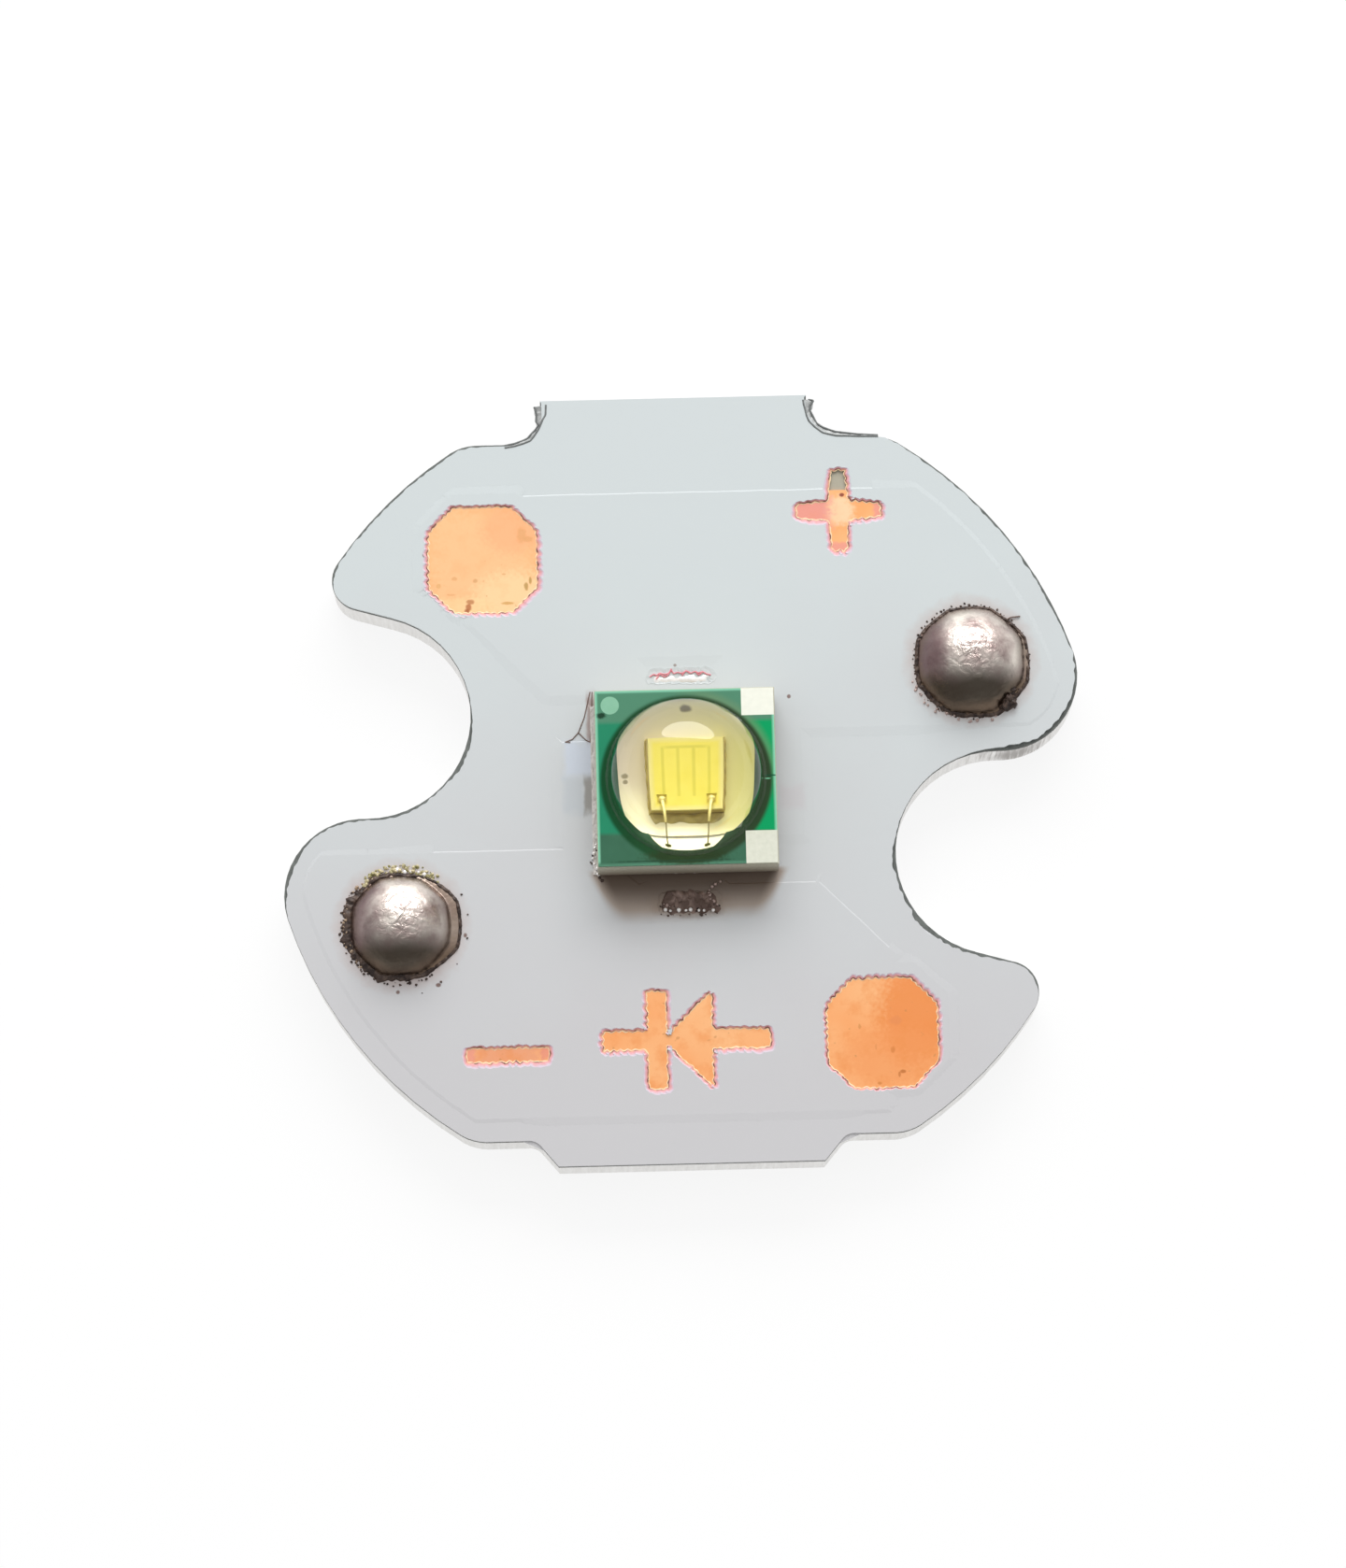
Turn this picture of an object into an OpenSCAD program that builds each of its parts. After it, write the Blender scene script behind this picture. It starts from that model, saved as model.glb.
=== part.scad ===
// Surface-mount power LED on a small round aluminium-core board. All sizes in millimetres.
// Seen from above, X is right, Y is up and Z stands out of the face. The origin is the centre of
// the round board on its underside. The positive pour is the upper one.

/* [Board] */
// Diameter of the round board
board_d = 16; // [15.6:0.1:18]
// Thickness of the aluminium core
core_t = 0.85; // [0.6:0.05:1.5]
// Thickness of the insulating layer on the core
insulation_t = 0.08; // [0.05:0.01:0.15]
// Thickness of the copper foil
copper_t = 0.035; // [0.03:0.005:0.07]
// Thickness of the white mask over the copper
mask_t = 0.035; // [0.02:0.005:0.06]

/* [Flats and tabs] */
// How far each flat lies inside the rim
flat_cut = 1.15; // [0.8:0.05:1.3]
// Radius where a flat runs into the rim
flat_corner_r = 1; // [0.3:0.1:1.5]
// Width of the upper tab at its outer edge
upper_tab_w = 5.2; // [3:0.1:6]
// How far the upper tab stands past its flat
upper_tab_h = 0.85; // [0.5:0.05:1.1]
// Angle between the upper tab's ends and its flat
upper_tab_angle = 90; // [50:1:90]
// Radius of the hollow fillets beside the upper tab
upper_fillet_r = 0.35; // [0.1:0.05:0.45]
// Width of the lower tab at its outer edge
lower_tab_w = 5.05; // [3:0.05:6]
// How far the lower tab stands past its flat
lower_tab_h = 0.5; // [0.4:0.05:1.1]
// Angle between the lower tab's ends and its flat
lower_tab_angle = 50; // [45:1:90]
// Radius of the hollow fillets beside the lower tab
lower_fillet_r = 0.3; // [0.1:0.05:0.35]

/* [Screw notches] */
// Radius of each screw notch
notch_r = 2; // [1.6:0.05:2.2]
// How far each notch's centre lies inside the rim
notch_inset = 1.77; // [1.4:0.01:1.9]
// Angle between the line through both notches and the X axis
notch_angle = 13.7; // [8:0.1:18]
// Slope of the flared wall of each notch
flare_angle = 16; // [10:1:22]
// Radius of the narrow lobe beside the flared wall
narrow_lobe_r = 0.6; // [0.4:0.05:0.8]
// Radius of the broad lobe beside the level wall
broad_lobe_r = 1.5; // [1:0.05:1.6]

/* [Copper pattern] */
// How far the copper pattern sits below the centre of the outline
pattern_drop = 0.1; // [0:0.01:0.2]
// Bare band between the copper and the rim
rim_gap = 0.5; // [0.4:0.05:0.7]
// Gap between neighbouring copper areas
copper_gap = 0.25; // [0.15:0.01:0.3]
// Distance from the flats to the outer edge of the upper pour, before the pattern's drop
upper_pour_inset = 0.98; // [0.5:0.01:1]
// Distance from the flats to the outer edge of the lower pour, before the pattern's drop
lower_pour_inset = 0.55; // [0.5:0.01:1]
// Distance from the pattern's centre to the long inner edge of each pour
pour_shelf = 1.15; // [1.05:0.01:1.2]
// Width of each wire pad across its flats
pad_w = 2.23; // [1.8:0.01:2.3]
// Size of the cut at each corner of a wire pad
pad_cut = 0.6; // [0.4:0.01:0.7]
// How far copper runs under the mask around a wire pad
pad_overlap = 0.1; // [0.05:0.01:0.15]
// Distance from the rim to the middle of each bare wire pad, before the pattern's drop
bare_pad_inset = 1.98; // [1.95:0.01:2.1]
// Angle of the positive bare wire pad round the board
bare_pad_angle = 128.25; // [127:0.05:129]
// Distance from the rim to the middle of each soldered wire pad, before the pattern's drop
blob_pad_inset = 1.93; // [1.9:0.01:2.1]
// Angle of the positive soldered wire pad round the board
blob_pad_angle = 23.8; // [23:0.1:26]
// Height of each solder blob above the mask
blob_h = 0.75; // [0.4:0.01:1]
// How far each solder blob spreads over the mask around its pad
blob_spread = 0.06; // [0:0.01:0.1]

/* [LED footprint] */
// Side of the square LED package
package_w = 3.45; // [3.3:0.01:3.6]
// Width of the middle heat pad under the package
heat_pad_w = 1.2; // [1:0.01:1.3]
// Width of each side pad under the package
side_pad_w = 0.5; // [0.4:0.01:0.6]
// How far the pads under the package stay inside its edge
pad_margin = 0.075; // [0.05:0.005:0.1]
// How far each side land runs out past its pad
land_toe = 0.1; // [0.05:0.01:0.25]
// How far the middle land runs out past the package at each end
heat_land_toe = 0.65; // [0.4:0.01:0.7]
// How far the wing beside each side land reaches out past the land
wing_w = 0.55; // [0.3:0.01:0.6]
// How far that wing runs past the package's middle
wing_run = 0.95; // [0.6:0.01:1.1]
// Thickness of the solder under the package
solder_t = 0.06; // [0.04:0.005:0.1]

/* [LED package] */
// Thickness of the pads under the package
pad_t = 0.03; // [0.02:0.005:0.05]
// Thickness of the ceramic tile
ceramic_t = 0.72; // [0.5:0.01:1]
// Thickness of the metal on the tile
metal_t = 0.02; // [0.015:0.005:0.03]
// Thickness of the green coat
coat_t = 0.04; // [0.035:0.005:0.06]
// Bare band between the coat and the tile's edge
coat_margin = 0.02; // [0.01:0.01:0.08]
// How far the soldered package sits from the middle of its lands, to the right and up
package_shift = [0.065, 0.06];
// Diameter of the clear dome
dome_d = 3.08; // [2.8:0.01:3.1]
// Diameter of the filled holes through the tile
via_d = 0.2; // [0.15:0.01:0.25]
// Number of filled holes on each side
via_count = 4; // [2:1:4]
// Distance between neighbouring filled holes
via_pitch = 0.5; // [0.4:0.01:0.55]
// Metal left all round each filled hole
via_ring = 0.05; // [0.03:0.01:0.07]
// Width and height of the upper corner pad
upper_corner_pad_size = [0.62, 0.53];
// Width and height of the lower corner pad
lower_corner_pad_size = [0.6, 0.63];
// Diameter of the polarity dot
dot_d = 0.35; // [0.2:0.01:0.4]
// Distance from the package's edges to the middle of the polarity dot
dot_inset = 0.3; // [0.28:0.01:0.35]

/* [Chip and wires] */
// Diameter of the mirror under the chip, over its rounded corners
mirror_d = 2.14; // [2.05:0.01:2.2]
// Width of the mirror between its straight sides
mirror_w = 1.82; // [1.75:0.01:1.85]
// Distance from the package's middle to the mirror's straight upper edge
mirror_top = 1.01; // [0.95:0.01:1.02]
// Distance from the package's middle to the mirror's straight lower edge
mirror_edge = 0.82; // [0.8:0.01:0.84]
// Gap between the mirror and the bond strip
strip_gap = 0.05; // [0.04:0.01:0.08]
// Height of the bond strip
strip_h = 0.4; // [0.3:0.01:0.42]
// Width of the bond strip at its outer edge
strip_w = 0.9; // [0.8:0.01:1]
// Slope of the bond strip's ends
strip_angle = 77; // [70:1:80]
// Width of the arms that lead from the mirror and the strip to the filled holes
arm_w = 0.22; // [0.15:0.01:0.24]
// Side of the square chip
chip_w = 1; // [0.9:0.01:1.05]
// Thickness of the chip
chip_t = 0.12; // [0.1:0.01:0.2]
// Thickness of the phosphor on the chip
phosphor_t = 0.045; // [0.035:0.005:0.06]
// Thickness of the chip's contact metal
contact_t = 0.02; // [0.015:0.005:0.03]
// Side of each bond contact on the chip
contact_w = 0.14; // [0.12:0.01:0.18]
// Distance from the chip's edges to the middle of each bond contact
contact_inset = 0.16; // [0.12:0.01:0.18]
// Number of thin contact fingers between the bond contacts
finger_count = 4; // [2:1:5]
// Width of each contact finger
finger_w = 0.025; // [0.015:0.005:0.04]
// Diameter of the bond wires
wire_d = 0.036; // [0.025:0.001:0.05]
// Height of each wire's arch above the straight line between its ends
wire_arch = 0.16; // [0.1:0.01:0.2]
// Distance between the two wires where they land on the strip
wire_landing_w = 0.6; // [0.4:0.01:0.7]
// Diameter of the bonds at the wires' ends
bond_d = 0.1; // [0.08:0.01:0.12]
// Height of the bonds at the wires' ends
bond_h = 0.03; // [0.02:0.005:0.04]

/* [Hidden] */
$fn = 64;

board_r = board_d / 2;
flat_y = board_r - flat_cut;
notch = (board_r - notch_inset) * [-cos(notch_angle), sin(notch_angle)];
level_wall_y = notch[1] - notch_r;

// Places of the positive wire pads, from the pattern's centre
bare_pad = (board_r - bare_pad_inset) * unit(bare_pad_angle);
blob_pad = (board_r - blob_pad_inset) * unit(blob_pad_angle);

// Heights of the layers above the underside
insulation_z = core_t;
copper_z = insulation_z + insulation_t;
solder_z = copper_z + copper_t;
mask_top = solder_z + mask_t;
led_pad_z = solder_z + solder_t;
ceramic_z = led_pad_z + pad_t;
metal_z = ceramic_z + ceramic_t;
coat_top = metal_z + coat_t;
chip_z = metal_z + metal_t;
chip_top = chip_z + chip_t;
contact_top = chip_top + contact_t;

// Footprint of the package
pad_l = package_w - 2 * pad_margin;
side_pad_x = package_w / 2 - pad_margin - side_pad_w / 2;
land_in = side_pad_x - side_pad_w / 2;
land_out = side_pad_x + side_pad_w / 2 + land_toe;
heat_land_l = package_w + 2 * heat_land_toe;

// Height of the metal that joins one row of filled holes
via_bar_h = (via_count - 1) * via_pitch + via_d + 2 * via_ring;

// Slack that lets one solid cut cleanly through another
slack = 0.1;
// Overlap that makes a round cross the wall it runs into, so that no sliver is left between them
nip = 0.001;
// Side over radius of the waste blocks that square off a rounded corner
waste_reach = 3;

function unit(angle) = [cos(angle), sin(angle)];

// Centre of the round between the rim and a straight wall. The wall lies offset from the board's
// centre along inward, the direction that points into the board.
function round_centre(inward, offset, r, side) =
    (offset + r) * unit(inward)
    + side * sqrt(pow(board_r - r, 2) - pow(offset + r, 2)) * unit(inward - 90);

// What is cut away outside the round at the end of a straight wall. A gap takes the cut further in.
module corner_waste(inward, offset, r, side, gap = 0) {
    centre = round_centre(inward, offset, r, side);
    to_wall = -waste_reach * r * unit(inward);
    to_rim = waste_reach * r * centre / norm(centre);
    difference() {
        polygon([centre, centre + to_wall, centre + to_wall + to_rim, centre + to_rim]);
        translate(centre)
            circle(r + nip - gap);
    }
}

// Hollow fillet where the end of a tab meets its flat
module tab_fillet(corner, end_angle, r) {
    run = r * tan(end_angle / 2);
    centre = corner + [run, r];
    difference() {
        polygon([
            corner,
            corner + [run, 0],
            centre,
            corner + run * [-cos(end_angle), sin(end_angle)]
        ]);
        translate(centre)
            circle(r + nip);
    }
}

// Break-off tab on the upper flat
module tab(w, h, end_angle, fillet_r) {
    foot = w / 2 + h / tan(end_angle);
    polygon([
        [-foot, 0],
        [foot, 0],
        [foot, flat_y],
        [w / 2, flat_y + h],
        [-w / 2, flat_y + h],
        [-foot, flat_y]
    ]);
    for (flip = [0, 1])
        mirror([flip, 0])
            tab_fillet([foot, flat_y], end_angle, fillet_r);
}

// The waste beside the broad lobe below the left screw notch
module broad_lobe_waste(gap = 0) {
    corner_waste(-90, -level_wall_y - nip, broad_lobe_r, 1, gap);
}

// Left screw notch with its open mouth and the waste beside both lobes
module notch_cut() {
    flare_in = 90 - flare_angle;
    mouth = 2 * notch_r;
    level_foot = [notch[0], level_wall_y + nip];
    flare_foot = notch + (notch_r - nip) * unit(flare_in);
    translate(notch)
        circle(notch_r);
    polygon([
        notch,
        flare_foot,
        flare_foot + mouth * unit(180 - flare_angle),
        level_foot - [mouth, 0],
        level_foot
    ]);
    corner_waste(flare_in, flare_foot * unit(flare_in), narrow_lobe_r, -1);
    broad_lobe_waste();
}

module board_outline() {
    difference() {
        union() {
            intersection() {
                circle(board_r);
                square([board_d, 2 * flat_y], center = true);
            }
            tab(upper_tab_w, upper_tab_h, upper_tab_angle, upper_fillet_r);
            rotate(180)
                tab(lower_tab_w, lower_tab_h, lower_tab_angle, lower_fillet_r);
        }
        for (turn = [0, 180])
            rotate(turn) {
                notch_cut();
                for (side = [-1, 1])
                    corner_waste(-90, -flat_y, flat_corner_r, side);
            }
    }
}

module board_layer(z, t) {
    translate([0, 0, z])
        linear_extrude(t)
            board_outline();
}

// Puts a layer of the copper pattern at its height, turned half a turn for the negative side
module pattern_layer(z, t, turn = 0) {
    translate([0, -pattern_drop, z])
        rotate(turn)
            linear_extrude(t)
                children();
}

// Puts a layer of the package at its height, turned half a turn for the negative side
module package_layer(z, t, turn = 0) {
    translate(package_shift)
        pattern_layer(z, t, turn)
            children();
}

// Square with cut corners, centred
module cut_square(w, cut) {
    h = w / 2;
    polygon([
        [h, h - cut],
        [h - cut, h],
        [cut - h, h],
        [-h, h - cut],
        [-h, cut - h],
        [cut - h, -h],
        [h - cut, -h],
        [h, cut - h]
    ]);
}

// Both wire pads of the positive side, grown all round by more
module wire_pads(more = 0) {
    for (place = [bare_pad, blob_pad])
        translate(place)
            cut_square(pad_w + 2 * more, pad_cut);
}

module side_land() {
    translate([land_in, -pad_l / 2])
        square([land_out - land_in, pad_l]);
}

module heat_land() {
    square([heat_pad_w, heat_land_l], center = true);
}

// Copper pour of the positive side: from the bare pad round the LED to the right-hand land. Its
// outer edge lies inset from the flat.
module pour(inset) {
    edge = flat_y - inset;
    heat_side = heat_pad_w / 2 + copper_gap;
    heat_end = heat_land_l / 2 + copper_gap;
    land_end = pad_l / 2 + copper_gap;
    wing_x = land_out + wing_w;
    slope_x = wing_x + copper_gap;
    slope_run = copper_gap - bare_pad[0] - slope_x;
    intersection() {
        circle(board_r - rim_gap);
        polygon([
            bare_pad,
            [-slope_x - slope_run, land_end + slope_run],
            [-slope_x, land_end],
            [-heat_side, land_end],
            [-heat_side, heat_end],
            [heat_side, heat_end],
            [heat_side, land_end],
            [land_in, pad_l / 2],
            [land_in, -pad_l / 2],
            [land_out, -pad_l / 2],
            [land_out, -wing_run],
            [wing_x, -wing_run],
            [wing_x, pour_shelf],
            [board_r, pour_shelf],
            [board_r, edge],
            [bare_pad[0], edge]
        ]);
    }
    wire_pads(pad_overlap);
}

// A pour at its height, turned half a turn for the negative side. It is taken back where the rim
// turns round its broad lobe.
module pour_layer(inset, turn = 0) {
    difference() {
        pattern_layer(copper_z, copper_t, turn)
            pour(inset);
        translate([0, 0, copper_z - slack])
            rotate(180 - turn)
                linear_extrude(copper_t + 2 * slack)
                    broad_lobe_waste(rim_gap - pattern_drop);
    }
}

module aluminium_base() {
    color("#a9a6a2")
        board_layer(0, core_t);
}

module dielectric_layer() {
    color("#8d8a7a")
        board_layer(insulation_z, insulation_t);
}

module positive_copper() {
    color("#f0a873")
        pour_layer(upper_pour_inset);
}

module negative_copper() {
    color("#f0a873")
        pour_layer(lower_pour_inset, 180);
}

module thermal_copper() {
    color("#f0a873")
        pattern_layer(copper_z, copper_t)
            heat_land();
}

// White mask: it lies on the insulation, steps over the copper and has a window at each pad
module solder_mask() {
    color("#d3d7d9")
        difference() {
            board_layer(copper_z, copper_t + mask_t);
            positive_copper();
            negative_copper();
            thermal_copper();
            for (turn = [0, 180])
                pattern_layer(copper_z, copper_t + mask_t + slack, turn) {
                    wire_pads();
                    side_land();
                    heat_land();
                }
        }
}

// Solder on a wire pad: it fills the window and stands up as a round cap
module blob() {
    cap_d = pad_w + 2 * blob_spread;
    cap_r = (pow(cap_d / 2, 2) + pow(blob_h, 2)) / (2 * blob_h);
    translate([blob_pad[0], blob_pad[1], solder_z]) {
        linear_extrude(mask_t)
            cut_square(pad_w, pad_cut);
        translate([0, 0, mask_t])
            intersection() {
                translate([0, 0, blob_h - cap_r])
                    sphere(cap_r);
                cylinder(h = blob_h, d = cap_d + slack);
            }
    }
}

module positive_blob() {
    color("#a9a09b")
        translate([0, -pattern_drop, 0])
            blob();
}

module negative_blob() {
    color("#a9a09b")
        translate([0, -pattern_drop, 0])
            rotate(180)
                blob();
}

module led_positive_solder() {
    color("#c4c0bb")
        pattern_layer(solder_z, solder_t)
            side_land();
}

module led_negative_solder() {
    color("#c4c0bb")
        pattern_layer(solder_z, solder_t, 180)
            side_land();
}

module led_thermal_solder() {
    color("#c4c0bb")
        pattern_layer(solder_z, solder_t)
            heat_land();
}

module side_pad() {
    translate([land_in, -pad_l / 2])
        square([side_pad_w, pad_l]);
}

module led_positive_pad() {
    color("#d9c58c")
        package_layer(led_pad_z, pad_t)
            side_pad();
}

module led_negative_pad() {
    color("#d9c58c")
        package_layer(led_pad_z, pad_t, 180)
            side_pad();
}

module led_thermal_pad() {
    color("#d9c58c")
        package_layer(led_pad_z, pad_t)
            square([heat_pad_w, pad_l], center = true);
}

// Row of filled holes above the right-hand pad
module via_row() {
    for (i = [0 : via_count - 1])
        translate([side_pad_x, (i - (via_count - 1) / 2) * via_pitch])
            circle(d = via_d);
}

module positive_vias() {
    color("#c98f5a")
        package_layer(ceramic_z, ceramic_t)
            via_row();
}

module negative_vias() {
    color("#c98f5a")
        package_layer(ceramic_z, ceramic_t, 180)
            via_row();
}

module ceramic_substrate() {
    color("#cdc6b8")
        difference() {
            package_layer(ceramic_z, ceramic_t)
                square(package_w, center = true);
            positive_vias();
            negative_vias();
        }
}

// Metal that joins the tops of one row of filled holes and reaches down to low. Side is 1 for the
// right-hand row and -1 for the left-hand row.
module via_bar(side, low) {
    bar_w = via_d + 2 * via_ring;
    translate([side * side_pad_x - bar_w / 2, low])
        square([bar_w, via_bar_h / 2 - low]);
}

module mirror_face() {
    intersection() {
        circle(d = mirror_d);
        translate([-mirror_w / 2, -mirror_edge])
            square([mirror_w, mirror_edge + mirror_top]);
    }
}

// Half the bond strip's width at a distance past its inner edge
function strip_half_w(run) = strip_w / 2 + (strip_h - run) / tan(strip_angle);

module strip_face() {
    top = -mirror_edge - strip_gap;
    polygon([
        [-strip_half_w(strip_h), top - strip_h],
        [strip_half_w(strip_h), top - strip_h],
        [strip_half_w(0), top],
        [-strip_half_w(0), top]
    ]);
}

// Opening in the green coat: the mirror, the strip and the gap between them
module coat_window() {
    top = -mirror_edge - strip_gap;
    mirror_face();
    strip_face();
    polygon([
        [-strip_half_w(0), top],
        [strip_half_w(0), top],
        [strip_half_w(-strip_gap), -mirror_edge],
        [0, 0],
        [-strip_half_w(-strip_gap), -mirror_edge]
    ]);
}

module anode_mirror() {
    color("#e3dcc2")
        package_layer(metal_z, metal_t) {
            mirror_face();
            via_bar(1, -via_bar_h / 2);
            translate([0, -arm_w / 2])
                square([side_pad_x, arm_w]);
        }
}

module cathode_strip() {
    arm_y = -mirror_edge - strip_gap - strip_h / 2 - arm_w / 2;
    color("#e3dcc2")
        package_layer(metal_z, metal_t) {
            strip_face();
            via_bar(-1, arm_y);
            translate([-side_pad_x, arm_y])
                square([side_pad_x, arm_w]);
        }
}

// Places a corner pad of the given size against the coat's right edge, up is 1 or -1
module corner_pad_face(size, up) {
    edge = package_w / 2 - coat_margin;
    translate([edge - size[0] / 2, up * (edge - size[1] / 2)])
        square(size, center = true);
}

module upper_corner_pad() {
    color("#e9eadf")
        package_layer(metal_z, coat_t)
            corner_pad_face(upper_corner_pad_size, 1);
}

module lower_corner_pad() {
    color("#e9eadf")
        package_layer(metal_z, coat_t)
            corner_pad_face(lower_corner_pad_size, -1);
}

module dot_face() {
    place = package_w / 2 - dot_inset;
    translate([-place, place])
        circle(d = dot_d);
}

module polarity_dot() {
    color("#8fc4a4")
        package_layer(metal_z, coat_t)
            dot_face();
}

module package_coat() {
    color("#2f8a5c")
        difference() {
            package_layer(metal_z, coat_t)
                difference() {
                    square(package_w - 2 * coat_margin, center = true);
                    coat_window();
                    corner_pad_face(upper_corner_pad_size, 1);
                    corner_pad_face(lower_corner_pad_size, -1);
                    dot_face();
                }
            anode_mirror();
            cathode_strip();
        }
}

module led_die() {
    color("#d8d4b0")
        package_layer(chip_z, chip_t)
            square(chip_w, center = true);
}

// Two bond contacts at the chip's lower corners
module contact_faces() {
    place = chip_w / 2 - contact_inset;
    for (side = [-1, 1])
        translate([side * place, -place])
            square(contact_w, center = true);
}

// Bond contacts, the bus bar between them and the fingers that rise from it
module die_contacts() {
    place = chip_w / 2 - contact_inset;
    finger_pitch = 2 * place / (finger_count - 1);
    color("#c9ab4e")
        package_layer(chip_top, contact_t) {
            contact_faces();
            translate([-place, -place - finger_w / 2])
                square([2 * place, finger_w]);
            for (i = [0 : finger_count - 1])
                translate([i * finger_pitch - place - finger_w / 2, -place])
                    square([finger_w, 2 * place]);
        }
}

// Phosphor on the chip, open above the two bond contacts
module phosphor_layer() {
    color("#f2e24a")
        difference() {
            package_layer(chip_top, phosphor_t)
                difference() {
                    square(chip_w, center = true);
                    contact_faces();
                }
            die_contacts();
        }
}

// Gold wire that arches from a chip contact down to the strip, with a bond at each end
module bond_wire(side) {
    place = chip_w / 2 - contact_inset;
    landing_y = -mirror_edge - strip_gap - strip_h / 2;
    start = [side * place, -place, contact_top + bond_h / 2];
    end = [side * wire_landing_w / 2, landing_y, chip_z + bond_h / 2];
    flat_run = norm([end[0] - start[0], end[1] - start[1]]);
    fall = start[2] - end[2];
    chord = norm([flat_run, fall]);
    arch_r = (pow(chord / 2, 2) + pow(wire_arch, 2)) / (2 * wire_arch);
    sweep = 2 * asin(chord / 2 / arch_r);
    heading = atan2(end[1] - start[1], end[0] - start[0]);
    color("#d9b24a")
        translate([package_shift[0], package_shift[1] - pattern_drop, 0]) {
            for (bond = [start, end])
                translate([bond[0], bond[1], bond[2] - bond_h / 2])
                    cylinder(h = bond_h, d = bond_d, $fn = 32);
            translate(start)
                rotate([0, 0, heading])
                    rotate([90, 0, 0])
                        rotate(-atan2(fall, flat_run))
                            translate([chord / 2, wire_arch - arch_r])
                                rotate(90 - sweep / 2)
                                    rotate_extrude(angle = sweep)
                                        translate([arch_r, 0])
                                            circle(d = wire_d, $fn = 16);
        }
}

module left_bond_wire() {
    bond_wire(-1);
}

module right_bond_wire() {
    bond_wire(1);
}

// Clear dome, moulded round the chip and wires and down into the coat's opening
module dome_lens() {
    color("#fff3c8", 0.4)
        difference() {
            union() {
                translate([package_shift[0], package_shift[1] - pattern_drop, coat_top])
                    intersection() {
                        sphere(d = dome_d, $fn = 96);
                        translate([0, 0, dome_d / 2])
                            cube(dome_d, center = true);
                    }
                package_layer(metal_z, coat_t)
                    coat_window();
            }
            anode_mirror();
            cathode_strip();
            led_die();
            die_contacts();
            phosphor_layer();
            left_bond_wire();
            right_bond_wire();
        }
}

aluminium_base();
dielectric_layer();
positive_copper();
negative_copper();
thermal_copper();
solder_mask();
positive_blob();
negative_blob();
led_positive_solder();
led_negative_solder();
led_thermal_solder();
led_positive_pad();
led_negative_pad();
led_thermal_pad();
ceramic_substrate();
positive_vias();
negative_vias();
anode_mirror();
cathode_strip();
upper_corner_pad();
lower_corner_pad();
package_coat();
polarity_dot();
led_die();
die_contacts();
phosphor_layer();
left_bond_wire();
right_bond_wire();
dome_lens();
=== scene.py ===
import math

import bmesh
import bpy
from mathutils import Matrix, Vector, noise
from mathutils.geometry import delaunay_2d_cdt
from mathutils.kdtree import KDTree


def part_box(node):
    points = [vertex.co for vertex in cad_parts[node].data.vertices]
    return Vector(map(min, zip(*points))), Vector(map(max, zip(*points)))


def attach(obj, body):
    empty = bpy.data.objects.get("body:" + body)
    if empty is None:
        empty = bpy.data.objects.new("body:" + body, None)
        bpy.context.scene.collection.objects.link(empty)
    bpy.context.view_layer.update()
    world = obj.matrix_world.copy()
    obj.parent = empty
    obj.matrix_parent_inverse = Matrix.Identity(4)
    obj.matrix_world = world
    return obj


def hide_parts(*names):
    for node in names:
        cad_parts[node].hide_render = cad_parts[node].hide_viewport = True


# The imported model, and its box before anything is added
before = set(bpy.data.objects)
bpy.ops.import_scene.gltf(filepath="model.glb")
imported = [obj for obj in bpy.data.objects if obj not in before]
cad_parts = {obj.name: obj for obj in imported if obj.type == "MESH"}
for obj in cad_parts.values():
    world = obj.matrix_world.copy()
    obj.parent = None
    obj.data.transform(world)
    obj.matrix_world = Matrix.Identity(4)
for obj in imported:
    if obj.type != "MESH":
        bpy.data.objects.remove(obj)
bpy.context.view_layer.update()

# One millimetre in metres. Sizes below are in millimetres unless they say otherwise.
MM = 0.001


# Places read from the frame
def span(node_name):
    """Lowest and highest corner of a CAD node, in millimetres."""
    low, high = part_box(node_name)
    return low / MM, high / MM


def middle(node_name):
    """Centre of a CAD node's box, in millimetres."""
    low, high = span(node_name)
    return (low + high) / 2


def shape(node_name):
    """A CAD node's shape, with its loose triangles merged."""
    mesh = bmesh.new()
    mesh.from_mesh(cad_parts[node_name].data)
    bmesh.ops.remove_doubles(mesh, verts=mesh.verts, dist=0.0005 * MM)
    mesh.normal_update()
    return mesh


def top_outline(node_name):
    """Outline of a node's top face, counter-clockwise, in millimetres."""
    mesh = shape(node_name)
    top = max(v.co.z for v in mesh.verts)

    def on_top(face):
        return face.normal.z > 0.9 and abs(face.verts[0].co.z - top) < 0.001 * MM

    after = {}
    for face in mesh.faces:
        if not on_top(face):
            continue
        for corner in face.loops:
            if not all(on_top(other) for other in corner.edge.link_faces):
                after[corner.vert] = corner.link_loop_next.vert
    vert = next(iter(after))
    outline = []
    while vert in after:
        outline.append(Vector((vert.co.x / MM, vert.co.y / MM)))
        vert = after.pop(vert)
    mesh.free()
    return outline


FOIL_Z = span("positive_copper")[1].z
FACE_Z = span("solder_mask")[1].z
INSULATION_Z = span("dielectric_layer")[1].z
TILE_LOW, TILE_HIGH = span("ceramic_substrate")
TILE = middle("ceramic_substrate")
BOARD_LOW, BOARD_HIGH = span("aluminium_base")
TILE_HALF = (TILE_HIGH - TILE_LOW) / 2
DOME_CENTRE = middle("dome_lens")
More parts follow.
